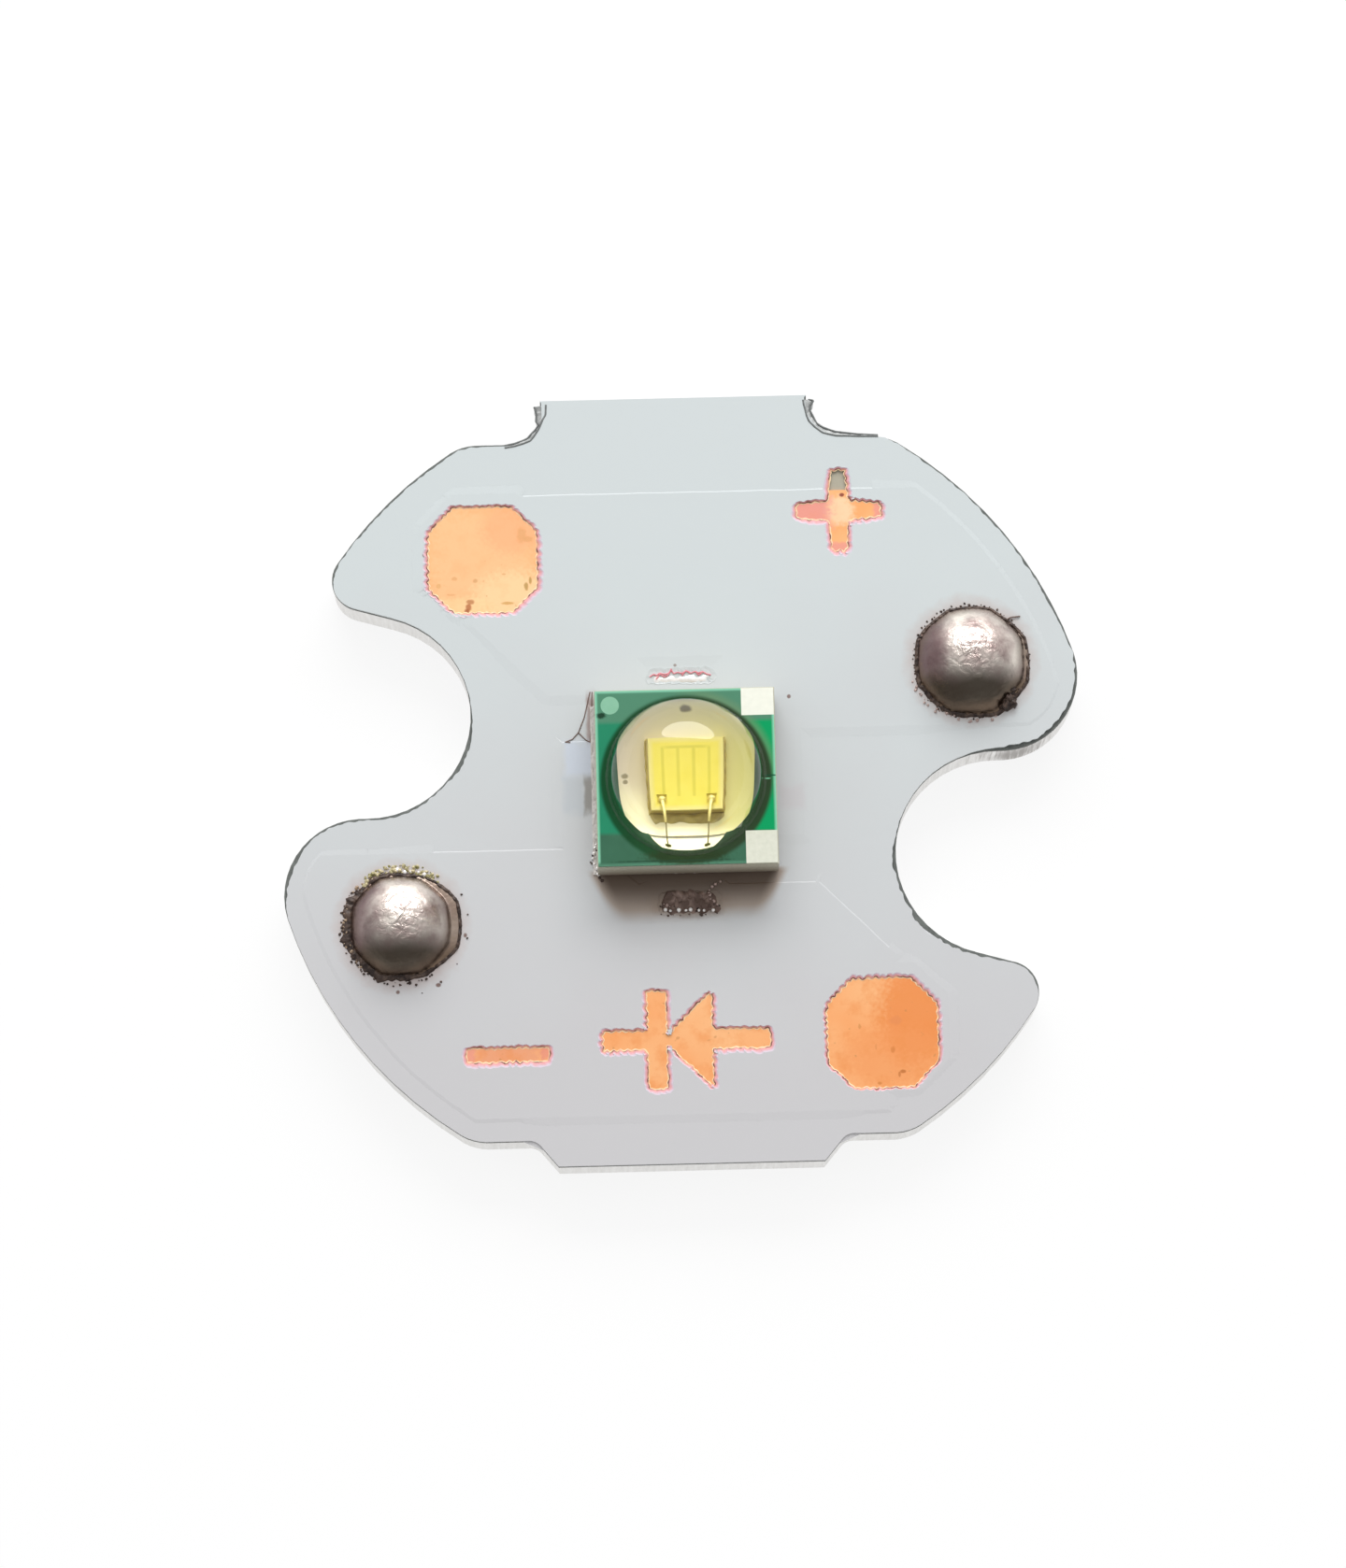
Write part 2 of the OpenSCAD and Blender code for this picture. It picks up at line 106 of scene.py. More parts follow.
# How each solder blob set on its pad: the shift of its dome, the dome's radius, and how far and
# in which direction its thin apron runs out
BLOB_SEATS = {
    "positive_blob": (Vector((0.07, -0.065, 0)), 1.04, 0.06, -20),
    "negative_blob": (Vector((0.11, -0.1, 0)), 0.97, 0.16, 5),
}
BLOBS = {name: middle(name) + seat[0] for name, seat in BLOB_SEATS.items()}
# The chip's contact fingers, as its two wire contacts place them
FINGER_PITCH = 0.206
FINGER_REACH = 1.5 * FINGER_PITCH
# Above the chip's centre: the middle and half length of the fingers, and of the bar's width
FINGER_RUN = (0.035, 0.335)
FINGER_BAR = (0.37, 0.022)
CHIP_HALF = 0.5


# Colours and nodes
def linear(colour):
    """An sRGB hex colour as linear RGBA."""
    values = [int(colour[i : i + 2], 16) / 255 for i in (1, 3, 5)]
    return tuple(
        v / 12.92 if v <= 0.04045 else ((v + 0.055) / 1.055) ** 2.4 for v in values
    ) + (1.0,)


def node(tree, kind, sockets=None, **settings):
    """Adds a node and gives its outputs. A socket takes a value, an output of another node, or
    another node's outputs as a whole, and then it is linked to the first of them."""
    made = tree.nodes.new(kind)
    for name, value in settings.items():
        setattr(made, name, value)
    for name, value in (sockets or {}).items():
        if isinstance(value, bpy.types.bpy_prop_collection):
            value = value[0]
        if isinstance(value, bpy.types.NodeSocket):
            tree.links.new(value, made.inputs[name])
        else:
            made.inputs[name].default_value = value
    return made.outputs


def material(name, **sockets):
    """A new material with one Principled shader, and its tree. Sockets are named with
    underscores."""
    made = bpy.data.materials.new(name)
    made.use_nodes = True
    tree = made.node_tree
    for socket, value in sockets.items():
        socket = socket.replace("_", " ").title().replace("Ior", "IOR")
        tree.nodes["Principled BSDF"].inputs[socket].default_value = value
    return made, tree


def patterned(name, **sockets):
    """A new material, its tree, and the place on the board that its patterns follow."""
    made, tree = material(name, **sockets)
    return made, tree, node(tree, "ShaderNodeTexCoord")["Object"]


def coated(made, colour, relief=None, depth=0.0, strength=0.0, rough=None):
    """Gives a material its colour and a relief, whose depth is in millimetres. Rough is a pattern
    and the roughness at its value 0 and at 1."""
    tree = made.node_tree
    sockets = tree.nodes["Principled BSDF"].inputs
    tree.links.new(colour, sockets["Base Color"])
    if relief is not None:
        bump = node(tree, "ShaderNodeBump", {
            "Height": relief, "Distance": depth * MM, "Strength": strength})
        tree.links.new(bump[0], sockets["Normal"])
    if rough is not None:
        pattern, least, most = rough
        spread = node(tree, "ShaderNodeMapRange", {
            "Value": pattern, "To Min": least, "To Max": most})
        tree.links.new(spread[0], sockets["Roughness"])
    return made


def overlaid(made, share, other):
    """Lays another shader over a material's own one."""
    nodes = made.node_tree.nodes
    mixed = node(made.node_tree, "ShaderNodeMixShader", {
        0: share, 1: nodes["Principled BSDF"].outputs, 2: other})
    made.node_tree.links.new(mixed[0], nodes["Material Output"].inputs["Surface"])


def paint(tree, value, first, second, rise=(), cover=(0.0, 1.0), smooth=False):
    """Colour that goes from first to second as a value goes from 0 to 1, or between the two ends
    of its rise. The cover is how much of the second colour shows at either end. Colours are hex
    values or come from other nodes."""
    if rise:
        value = node(tree, "ShaderNodeMapRange", {
            "Value": value, "From Min": rise[0], "From Max": rise[1], "To Min": cover[0],
            "To Max": cover[1]}, interpolation_type="SMOOTHSTEP" if smooth else "LINEAR")
    first, second = (linear(c) if isinstance(c, str) else c for c in (first, second))
    return node(tree, "ShaderNodeMix", {0: value, 6: first, 7: second}, data_type="RGBA")[2]


def per(size):
    """Texture scale for a pattern whose features are this many millimetres wide."""
    return 1 / (size * MM)


def seen_from(tree, place, centre):
    """The place as measured from a centre on the board, and its X and Y."""
    shifted = node(tree, "ShaderNodeVectorMath", {
        0: place, 1: Vector((centre[0], centre[1], 0)) * MM}, operation="SUBTRACT")
    return shifted, node(tree, "ShaderNodeSeparateXYZ", {0: shifted})


def reach_from(tree, place, centre, half, boxy=False):
    """Distance from a centre on the board, as a share of the half width and half height. It is
    measured along a circle's radius, or across a box."""
    away = node(tree, "ShaderNodeVectorMath", {
        0: place, 1: Vector((centre[0], centre[1], 0)) * MM}, operation="SUBTRACT")
    share = node(tree, "ShaderNodeVectorMath", {
        0: away, 1: (per(half[0]), per(half[1]), 0)}, operation="MULTIPLY")
    if not boxy:
        return node(tree, "ShaderNodeVectorMath", {0: share}, operation="LENGTH")["Value"]
    sides = node(tree, "ShaderNodeVectorMath", {0: share}, operation="ABSOLUTE")
    axes = node(tree, "ShaderNodeSeparateXYZ", {0: sides})
    return node(tree, "ShaderNodeMath", {0: axes["X"], 1: axes["Y"]}, operation="MAXIMUM")[0]


# How far the grit pushes a mark's edge in and out, and where the mark starts to fade and ends, all
# as shares of its half size
MARK_GRIT = 0.8
MARK_FADE = (1.0, 1.7)


def marked(tree, place, grit, colour, marks):
    """Paints marks over a colour. Each mark has a centre and its half sizes in millimetres, a
    colour and a strength, and may be boxy. The grit makes the edge of each one uneven."""
    for centre, half, tint, strength, *boxy in marks:
        reach = reach_from(tree, place, centre, half, bool(boxy))
        edge = node(tree, "ShaderNodeMath", {
            0: grit, 1: MARK_GRIT, 2: reach}, operation="MULTIPLY_ADD")
        colour = paint(tree, edge, colour, tint, MARK_FADE, (strength, 0.0), True)
    return colour


# Mesh outlines, as lists of 2-D points in millimetres
def sides_of(outline):
    """Each point of a closed outline with the one after it."""
    return zip(outline, outline[1:] + outline[:1])


def stepped(outline, step):
    """The same outline with points no further apart than step."""
    points = []
    for a, b in sides_of(outline):
        count = max(1, math.ceil((b - a).length / step))
        points += [a.lerp(b, i / count) for i in range(count)]
    return points


def outward(outline):
    """Outward direction at each point of a counter-clockwise outline."""
    directions = []
    for before, here, after in zip(outline[-1:] + outline[:-1], outline, outline[1:] + outline[:1]):
        along = (here - before).normalized() + (after - here).normalized()
        directions.append(Vector((along.y, -along.x)).normalized())
    return directions


def jitter(point, grain, seed):
    """Smooth random value from about -1 to 1, with features of the given width."""
    return noise.noise(Vector((point.x / grain, point.y / grain, seed)))


def grown(outline, amount):
    """The outline moved outwards at each point by amount(point, direction)."""
    return [p + n * amount(p, n) for p, n in zip(outline, outward(outline))]


def cut_square(centre, width, cut):
    """Square with cut corners, counter-clockwise."""
    h = width / 2
    corners = [
        (h, h - cut), (h - cut, h), (cut - h, h), (-h, h - cut),
        (-h, cut - h), (cut - h, -h), (h - cut, -h), (h, cut - h),
    ]
    return [centre + Vector(corner) for corner in corners]


def box_outline(low, high):
    """Rectangle between two corners, counter-clockwise."""
    return [Vector(low), Vector((high[0], low[1])), Vector(high), Vector((low[0], high[1]))]


# Pieces
def piece(name, corners, faces, finish, smooth=False):
    """A mesh object whose corners are given in millimetres. It rides on the board."""
    mesh = bpy.data.meshes.new(name)
    mesh.from_pydata([Vector(corner) * MM for corner in corners], [], faces)
    mesh.materials.append(finish)
    if smooth:
        mesh.shade_smooth()
    return placed(name, mesh)


def placed(name, mesh):
    """Adds a finished mesh to the scene and lets it ride on the board."""
    made = bpy.data.objects.new(name, mesh)
    bpy.context.collection.objects.link(made)
    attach(made, "root")
    return made


def within(point, outline):
    """Whether a point lies inside an outline."""
    inside = False
    for a, b in sides_of(outline):
        if (a.y > point.y) != (b.y > point.y):
            if point.x < a.x + (point.y - a.y) * (b.x - a.x) / (b.y - a.y):
                inside = not inside
    return inside


# No window in the mask is wider than this
WIDEST_HOLE = 4


def in_hole(point, holes):
    """Whether a point lies inside one of the holes."""
    return any((hole[0] - point).length < WIDEST_HOLE and within(point, hole) for hole in holes)


def plate(rim, holes, low, high, foot=None):
    """Corners and faces of a closed plate. Its rim may slope down to a foot's outline."""
    outlines = [rim] + holes
    flat = [point for outline in outlines for point in outline]
    edges, start = [], 0
    for outline in outlines:
        count = len(outline)
        edges += [(start + i, start + (i + 1) % count) for i in range(count)]
        start += count
    points, _, triangles, origins, _, _ = delaunay_2d_cdt(flat, edges, [], 1, 1e-6)
    place = {source: i for i, sources in enumerate(origins) for source in sources}
    corners = [(p.x, p.y, z) for z in (high, low) for p in points]
    lift, faces = len(points), []
    for a, b, c in triangles:
        if in_hole((points[a] + points[b] + points[c]) / 3, holes):
            continue
        if (points[b] - points[a]).cross(points[c] - points[a]) < 0:
            b, c = c, b
        faces += [(a, b, c), (lift + c, lift + b, lift + a)]
    toes = {}
    for number, (a, b) in enumerate(edges):
        on_rim = number < len(rim)
        if on_rim and in_hole((flat[a] + flat[b]) / 2, holes):
            continue
        if on_rim and foot:
            for i in (a, b):
                if i not in toes:
                    toes[i] = len(corners)
                    corners.append((foot[i].x, foot[i].y, low))
            faces.append((toes[a], toes[b], place[b], place[a]))
            faces.append((lift + place[a], lift + place[b], toes[b], toes[a]))
            continue
        a, b = (place[a], place[b]) if on_rim else (place[b], place[a])
        faces.append((lift + a, lift + b, b, a))
    return corners, faces


def ring_wall(rows, base):
    """Closed ring through rows of outlines, each with its height, from the highest one inwards.
    Its outer wall goes down to the base."""
    corners = [(p.x, p.y, z) for outline, z in rows for p in outline]
    corners += [(p.x, p.y, base) for p in rows[0][0]]
    count, turns, faces = len(rows[0][0]), len(rows) + 1, []
    for i in range(count):
        j = (i + 1) % count
        for k in range(turns):
            here, there = k * count, (k + 1) % turns * count
            faces.append((here + i, here + j, there + j, there + i))
    return corners, faces


def ringed(rows, sides):
    """Faces of a smooth body: a top corner, rows of corners round it, and a bottom corner."""
    faces, last = [], 1 + (rows - 1) * sides
    for side in range(sides):
        after = (side + 1) % sides
        faces.append((0, 1 + side, 1 + after))
        for start in range(1, last, sides):
            faces.append((start + side, start + sides + side,
                          start + sides + after, start + after))
        faces.append((last + after, last + side, last + sides))
    return faces


# The width over which a daub's edge rounds off, and how deep it is set in
DAUB_ROUND = 0.09
DAUB_ROOT = 0.005


def daub(name, low, high, foot, rise, finish, seed, step=0.03, waver=0.03, taper=0.0):
    """A lumpy daub over a rectangle between two corners. Its edges waver and its top is uneven. A
    taper above 0 narrows it towards its lower edge, and one below 0 towards its upper edge."""
    across = max(4, round((high[0] - low[0]) / step))
    up = max(3, round((high[1] - low[1]) / step))
    top, base = [], []
    for j in range(up + 1):
        for i in range(across + 1):
            width = 1 - abs(taper) * ((1 - j / up) if taper > 0 else j / up) ** 2
            aside = (high[0] - low[0]) * (i / across - 0.5) * width
            point = Vector(((low[0] + high[0]) / 2 + aside, low[1] + (high[1] - low[1]) * j / up))
            shift = Vector((jitter(point, 0.1, seed), jitter(point, 0.1, seed + 9))) * waver
            edge = min(1.0, min(i, across - i, j, up - j) * step / DAUB_ROUND)
            lump = 0.75 + 0.5 * jitter(point, 0.13, seed + 3) + 0.3 * jitter(point, 0.06, seed + 5)
            point += shift
            top.append((point.x, point.y, foot + rise * math.sqrt(edge) * max(0.1, lump)))
            base.append((point.x, point.y, foot - DAUB_ROOT))
    row, lift, faces = across + 1, len(top), []
    for j in range(up):
        for i in range(across):
            a = j * row + i
            faces.append((a, a + 1, a + row + 1, a + row))
            faces.append((lift + a + row, lift + a + row + 1, lift + a + 1, lift + a))
    border = [i for i in range(row)] + [j * row + across for j in range(1, up + 1)]
    border += [up * row + i for i in reversed(range(across))]
    border += [j * row for j in reversed(range(1, up))]
    for a, b in sides_of(border):
        faces.append((lift + a, lift + b, b, a))
    return piece(name, top + base, faces, finish, smooth=True)


# Materials, each from what the real thing is made of
def punched_aluminium():
    """Rolled aluminium sheet. The punch drags upright grey streaks down the cut walls."""
    made, tree, place = patterned("punched aluminium sheet", metallic=1.0)
    streaks = node(tree, "ShaderNodeMapping", {
        "Vector": place, "Scale": (per(0.07), per(0.07), per(1.2))})
    dragged = node(tree, "ShaderNodeTexNoise", {
        "Vector": streaks, "Scale": 1.0, "Detail": 4.0, "Roughness": 0.6})
    rolling = node(tree, "ShaderNodeMapping", {
        "Vector": place, "Scale": (per(3.0), per(0.06), per(3.0))})
    rolled = node(tree, "ShaderNodeTexNoise", {"Vector": rolling, "Scale": 1.0, "Detail": 3.0})
    normal = node(tree, "ShaderNodeNewGeometry")["Normal"]
    facing = node(tree, "ShaderNodeSeparateXYZ", {0: normal})
    level = node(tree, "ShaderNodeMath", {0: facing["Z"]}, operation="ABSOLUTE")
    grain = node(tree, "ShaderNodeMix", {0: level, 2: dragged, 3: rolled})
    colour = paint(tree, grain, "#d8d6d3", "#fbfaf8")
    # Dirt and painted shade on the wall of the right notch, broken up by the drag marks
    near = node(tree, "ShaderNodeVectorMath", {
        0: place, 1: Vector((6.5, 0.42, 0.5)) * MM}, operation="DISTANCE")
    broken = node(tree, "ShaderNodeMath", {
        0: dragged, 1: 1.6 * MM, 2: near["Value"]}, operation="MULTIPLY_ADD")
    colour = paint(tree, broken, colour, "#7f7872", (0.9 * MM, 1.75 * MM), (0.75, 0.0), True)
    return coated(made, colour, grain, 0.004, 0.6, (grain, 0.5, 0.32))


def filled_epoxy():
    """Ceramic-filled epoxy, cured in a press: grey, dull and grainy where the punch tore it at the
    rim, and a paler tan where the window of the plus sign lies beside the copper."""
    made, tree, place = patterned("ceramic-filled epoxy", roughness=0.75)
    grit = node(tree, "ShaderNodeTexNoise", {"Vector": place, "Scale": per(0.12), "Detail": 5.0})
    colour = paint(tree, grit, "#474b49", "#7f837f")
    colour = marked(tree, place, grit, colour, EPOXY_MARKS)
    return coated(made, colour, grit, 0.006, 0.7)


def bare_copper():
    """Etched copper foil, warm orange and satin, with soft pale clouds and brown specks. A film of
    ink was left on the ends of the plus sign, and it shows pink."""
    made, tree, place = patterned("etched copper foil", metallic=0.6, roughness=0.45)
    clouds = node(tree, "ShaderNodeTexNoise", {
        "Vector": place, "Scale": per(1.3), "Detail": 2.0, "Roughness": 0.5})
    colour = paint(tree, clouds, "#fdae70", "#ffbf86", (0.35, 0.68))
    grit = node(tree, "ShaderNodeTexNoise", {"Vector": place, "Scale": per(0.07), "Detail": 2.0})
    colour = marked(tree, place, grit, colour, COPPER_MARKS)
    # The foil is rubbed, and more so on the lower pad
    mottle = node(tree, "ShaderNodeTexNoise", {
        "Vector": place, "Scale": per(0.3), "Detail": 3.0, "Roughness": 0.6})
    rubbed = node(tree, "ShaderNodeMapRange", {
        "Value": mottle, "From Min": 0.48, "From Max": 0.7, "To Max": 0.5})
    axes = node(tree, "ShaderNodeSeparateXYZ", {0: place})
    lower = node(tree, "ShaderNodeMapRange", {
        "Value": axes["Y"], "From Min": -2 * MM, "From Max": 2 * MM, "To Min": 1.0,
        "To Max": 0.25})
    worn = node(tree, "ShaderNodeMath", {0: rubbed, 1: lower}, operation="MULTIPLY")
    colour = paint(tree, worn, colour, "#f29650")
    spots = node(tree, "ShaderNodeTexNoise", {"Vector": place, "Scale": per(0.14), "Detail": 1.0})
    colour = paint(tree, spots, colour, "#c98a52", (0.72, 0.78), (0.0, 0.5))
    return coated(made, colour, grit, 0.002, 0.4)


def painted_shadow_and_flux_cover(tree, place, clouds):
    """Cover of the flux that ran out in front of the package, with the package's painted shadow
    over it. It is as wide as the package where it starts, narrows as it runs out and fades."""
    axes = seen_from(tree, place, (TILE.x, TILE_LOW.y))[1]
    depth = node(tree, "ShaderNodeMath", {0: axes["Y"], 1: -per(1.0)}, operation="MULTIPLY")
    ragged = node(tree, "ShaderNodeMath", {0: clouds, 1: 0.25, 2: depth}, operation="MULTIPLY_ADD")
    fade = node(tree, "ShaderNodeMapRange", {
        "Value": ragged, "From Min": 0.3, "From Max": 1.12, "To Min": 1.0, "To Max": 0.0},
        interpolation_type="SMOOTHSTEP")
    side = node(tree, "ShaderNodeMath", {0: axes["X"]}, operation="ABSOLUTE")
    across = node(tree, "ShaderNodeMath", {0: side, 1: per(1.0)}, operation="MULTIPLY")
    narrowed = node(tree, "ShaderNodeMath", {
        0: depth, 1: 0.5, 2: across}, operation="MULTIPLY_ADD")
    ends = node(tree, "ShaderNodeMapRange", {
        "Value": narrowed, "From Min": 1.55, "From Max": 1.95, "To Min": 1.0, "To Max": 0.0},
        interpolation_type="SMOOTHSTEP")
    start = node(tree, "ShaderNodeMapRange", {
        "Value": depth, "From Min": -0.12, "From Max": 0.0})
    shape = node(tree, "ShaderNodeMath", {0: fade, 1: ends}, operation="MULTIPLY")
    return node(tree, "ShaderNodeMath", {0: shape, 1: start}, operation="MULTIPLY")


def board_mask():
    """Screen-printed white epoxy ink, cured to a soft eggshell gloss. It is a cool pale grey that
    turns warmer towards the lower edge, and hot flux has tanned it beside the solder."""
    made, tree, place = patterned("printed white mask ink", ior=1.5)
    axes = node(tree, "ShaderNodeSeparateXYZ", {0: place})
    height = node(tree, "ShaderNodeMapRange", {
        "Value": axes["Y"], "From Min": BOARD_LOW.y * MM, "From Max": BOARD_HIGH.y * MM})
    clouds = node(tree, "ShaderNodeTexNoise", {"Vector": place, "Scale": per(2.6), "Detail": 2.0})
    blend = node(tree, "ShaderNodeMath", {0: clouds, 1: 0.35, 2: height}, operation="MULTIPLY_ADD")
    colour = paint(tree, blend, "#cbcacc", "#d0d7d8", (0.3, 0.95))
    grit = node(tree, "ShaderNodeTexNoise", {"Vector": place, "Scale": per(0.25), "Detail": 3.0})
    for centre in BLOBS.values():
        halo = reach_from(tree, place, centre, (0.93, 0.93))
        edge = node(tree, "ShaderNodeMath", {0: grit, 1: 0.3, 2: halo}, operation="MULTIPLY_ADD")
        colour = paint(tree, edge, colour, "#bfaaa3", (1.3, 1.62), (0.6, 0.0))
    colour = marked(tree, place, grit, colour, MASK_MARKS)
    # Flux in front of the package, darkened as the package's painted shadow: a warm tan edge, then
    # dark brown
    shadow_and_flux = painted_shadow_and_flux_cover(tree, place, clouds)
    colour = paint(tree, shadow_and_flux, colour, "#bda896", (0.0, 0.35), (0.0, 0.75))
    colour = paint(tree, shadow_and_flux, colour, "#5f4e40")
    peel = node(tree, "ShaderNodeTexNoise", {"Vector": place, "Scale": per(0.4), "Detail": 2.0})
    return coated(made, colour, peel, 0.004, 0.35, (grit, 0.36, 0.5))


def thin_ink():
    """The same ink where it thins out to nothing round a window: its cream skin ends in a brown
    line, and above that the copper glows through it in pink and lilac."""
    made, tree, place = patterned("thinned mask ink", roughness=0.5)
    axes = node(tree, "ShaderNodeSeparateXYZ", {0: place})
    grit = node(tree, "ShaderNodeTexNoise", {"Vector": place, "Scale": per(0.09), "Detail": 2.0})
    level = node(tree, "ShaderNodeMapRange", {
        "Value": axes["Z"], "From Min": FOIL_Z * MM, "From Max": FACE_Z * MM})
    ragged = node(tree, "ShaderNodeMath", {0: grit, 1: 0.5, 2: level}, operation="MULTIPLY_ADD")
    dashes = node(tree, "ShaderNodeTexNoise", {"Vector": place, "Scale": per(0.16), "Detail": 1.0})
    brown_dashes = paint(tree, dashes, "#784635", "#e2a487", (0.42, 0.56))
    colour = paint(tree, ragged, "#ffdfb4", brown_dashes, (0.38, 0.48))
    colour = paint(tree, ragged, colour, "#e8a5aa", (0.6, 0.75))
    colour = paint(tree, ragged, colour, "#d9cbd8", (0.85, 1.15))
    return coated(made, colour)


def tin_solder():
    """Tin solder that set in air: bright where it cooled slowly, frosty and torn in the middle,
    with painted shade along its lower side and over a mauve tint at its left."""
    made, tree, place = patterned("air-cooled tin solder", metallic=1.0)
    local = node(tree, "ShaderNodeAttribute", attribute_name="local")["Vector"]
    axes = node(tree, "ShaderNodeSeparateXYZ", {0: local})
    clouds = node(tree, "ShaderNodeTexNoise", {
        "Vector": place, "Scale": per(0.55), "Detail": 4.0, "Roughness": 0.6})
    colour = paint(tree, clouds, "#b09c98", "#efe6dc", (0.35, 0.65))
    # Painted shade over a mauve tint at the left, painted shade along the lower side, and a burnt
    # foot. The third local value is the share of the dome's radius, and past 1 it lies on the apron.
    for axis, waver, tint, rise, cover, smooth in (
        ("X", 0.4, "#806769", (-0.55, 0.0), (0.85, 0.0), True),
        ("Y", -0.35, "#544b40", (-0.78, -0.3), (0.95, 0.0), True),
        ("Z", 0.3, "#85705f", (0.98, 1.16), (0.0, 0.75), False),
    ):
        edge = node(tree, "ShaderNodeMath", {
            0: clouds, 1: waver, 2: axes[axis]}, operation="MULTIPLY_ADD")
        colour = paint(tree, edge, colour, tint, rise, cover, smooth)
    torn = node(tree, "ShaderNodeMapRange", {
        "Value": axes["Z"], "From Min": 0.15, "From Max": 0.6, "To Min": 1.0, "To Max": 0.1})
    grains = node(tree, "ShaderNodeTexNoise", {
        "Vector": place, "Scale": per(0.2), "Detail": 3.0, "Distortion": 1.5})
    frost = node(tree, "ShaderNodeMath", {0: grains, 1: torn}, operation="MULTIPLY")
    dimples = node(tree, "ShaderNodeTexNoise", {"Vector": place, "Scale": per(0.4), "Detail": 3.0})
    relief = node(tree, "ShaderNodeMath", {
        0: dimples, 1: 0.5, 2: frost}, operation="MULTIPLY_ADD")
    return coated(made, colour, relief, 0.07, 0.9, (clouds, 0.27, 0.4))


def fired_alumina():
    """Fired alumina, sawn into tiles: warm off-white, dull, with a fine grain. Flux crept up its
    walls from the joint, and with painted shade it browns their lower half."""
    made, tree, place = patterned("fired alumina", roughness=0.6, ior=1.76)
    axes = node(tree, "ShaderNodeSeparateXYZ", {0: place})
    grain = node(tree, "ShaderNodeTexNoise", {"Vector": place, "Scale": per(0.06), "Detail": 3.0})
    colour = paint(tree, grain, "#b3ae9b", "#cbcab6")
    # Browner towards the foot of the walls: flux and painted shade
    level = node(tree, "ShaderNodeMath", {
        0: grain, 1: 0.12 * MM, 2: axes["Z"]}, operation="MULTIPLY_ADD")
    rise = ((TILE_LOW.z + 0.1) * MM, (TILE_HIGH.z - 0.1) * MM)
    colour = paint(tree, level, colour, "#7d6a58", rise, (0.65, 0.0))
    return coated(made, colour, grain, 0.003, 0.5)


def green_coat():
    """Green epoxy print over silver. The silver greys it in a band along the upper and the lower
    edge, and it is clear green across the middle. It is darkest under the rim of the dome, where
    the silicone crept out over it and the dome's painted shade falls. Painted shade of the dome
    also greys it at the upper right, and a painted highlight lies along its upper and side edges."""
    made, tree, place = patterned("green epoxy print", roughness=0.35, specular_ior_level=0.12)
    shifted, axes = seen_from(tree, place, TILE)
    side = node(tree, "ShaderNodeMapRange", {
        "Value": axes["X"], "From Min": -1.4 * MM, "From Max": 1.0 * MM})
    clear = paint(tree, side, "#278a66", "#00a060")
    off = node(tree, "ShaderNodeMath", {0: axes["Y"]}, operation="ABSOLUTE")
    upper = node(tree, "ShaderNodeMapRange", {
        "Value": axes["Y"], "From Min": -0.8 * MM, "From Max": 0.8 * MM})
    clouds = node(tree, "ShaderNodeTexNoise", {"Vector": place, "Scale": per(0.5), "Detail": 2.0})
    tone = node(tree, "ShaderNodeMath", {0: clouds, 1: 0.4, 2: upper}, operation="MULTIPLY_ADD")
    greyed = paint(tree, tone, "#35614a", "#548c70")
    colour = paint(tree, off, clear, greyed, (1.04 * MM, 1.12 * MM))
    # Painted shade of the dome greys it at the upper right
    radial = reach_from(tree, place, DOME_CENTRE, (1.0, 1.0))
    lean = node(tree, "ShaderNodeVectorMath", {
        0: shifted, 1: (1, 0.9, 0)}, operation="DOT_PRODUCT")["Value"]
    towards = node(tree, "ShaderNodeMapRange", {
        "Value": lean, "From Min": 1.2 * MM, "From Max": 1.9 * MM, "To Max": 0.55})
    near = node(tree, "ShaderNodeMapRange", {
        "Value": radial, "From Min": 1.6, "From Max": 1.8, "To Min": 1.0, "To Max": 0.0},
        interpolation_type="SMOOTHSTEP")
    painted_dome_shade = node(tree, "ShaderNodeMath", {0: towards, 1: near}, operation="MULTIPLY")
    colour = paint(tree, painted_dome_shade, colour, "#75936b")
    # Painted shade of the dome: under its rim it goes dark, a little further out along the lower edge
    pull = node(tree, "ShaderNodeMath", {
        0: axes["Y"], 1: per(30.0), 2: radial}, operation="MULTIPLY_ADD")
    dark = paint(tree, side, "#0b4522", "#2c3d25")
    colour = paint(tree, pull, colour, dark, (1.59, 1.69), (0.97, 0.0), True)
    # Painted highlight along the coat's upper and side edges
    rim = reach_from(tree, place, TILE, TILE_HALF, True)
    edge = node(tree, "ShaderNodeMapRange", {
        "Value": rim, "From Min": 0.955, "From Max": 0.98, "To Max": 0.85})
    above = node(tree, "ShaderNodeMapRange", {
        "Value": axes["Y"], "From Min": -TILE_HALF.y * 0.97 * MM,
        "From Max": -TILE_HALF.y * 0.93 * MM, "To Min": 0.2})
    printed = node(tree, "ShaderNodeMath", {0: edge, 1: above}, operation="MULTIPLY")
    colour = paint(tree, printed, colour, "#93dcbb")
    grit = node(tree, "ShaderNodeTexNoise", {"Vector": place, "Scale": per(0.06), "Detail": 2.0})
    colour = marked(tree, place, grit, colour, COAT_MARKS)
    return coated(made, colour, clouds, 0.006, 0.5)


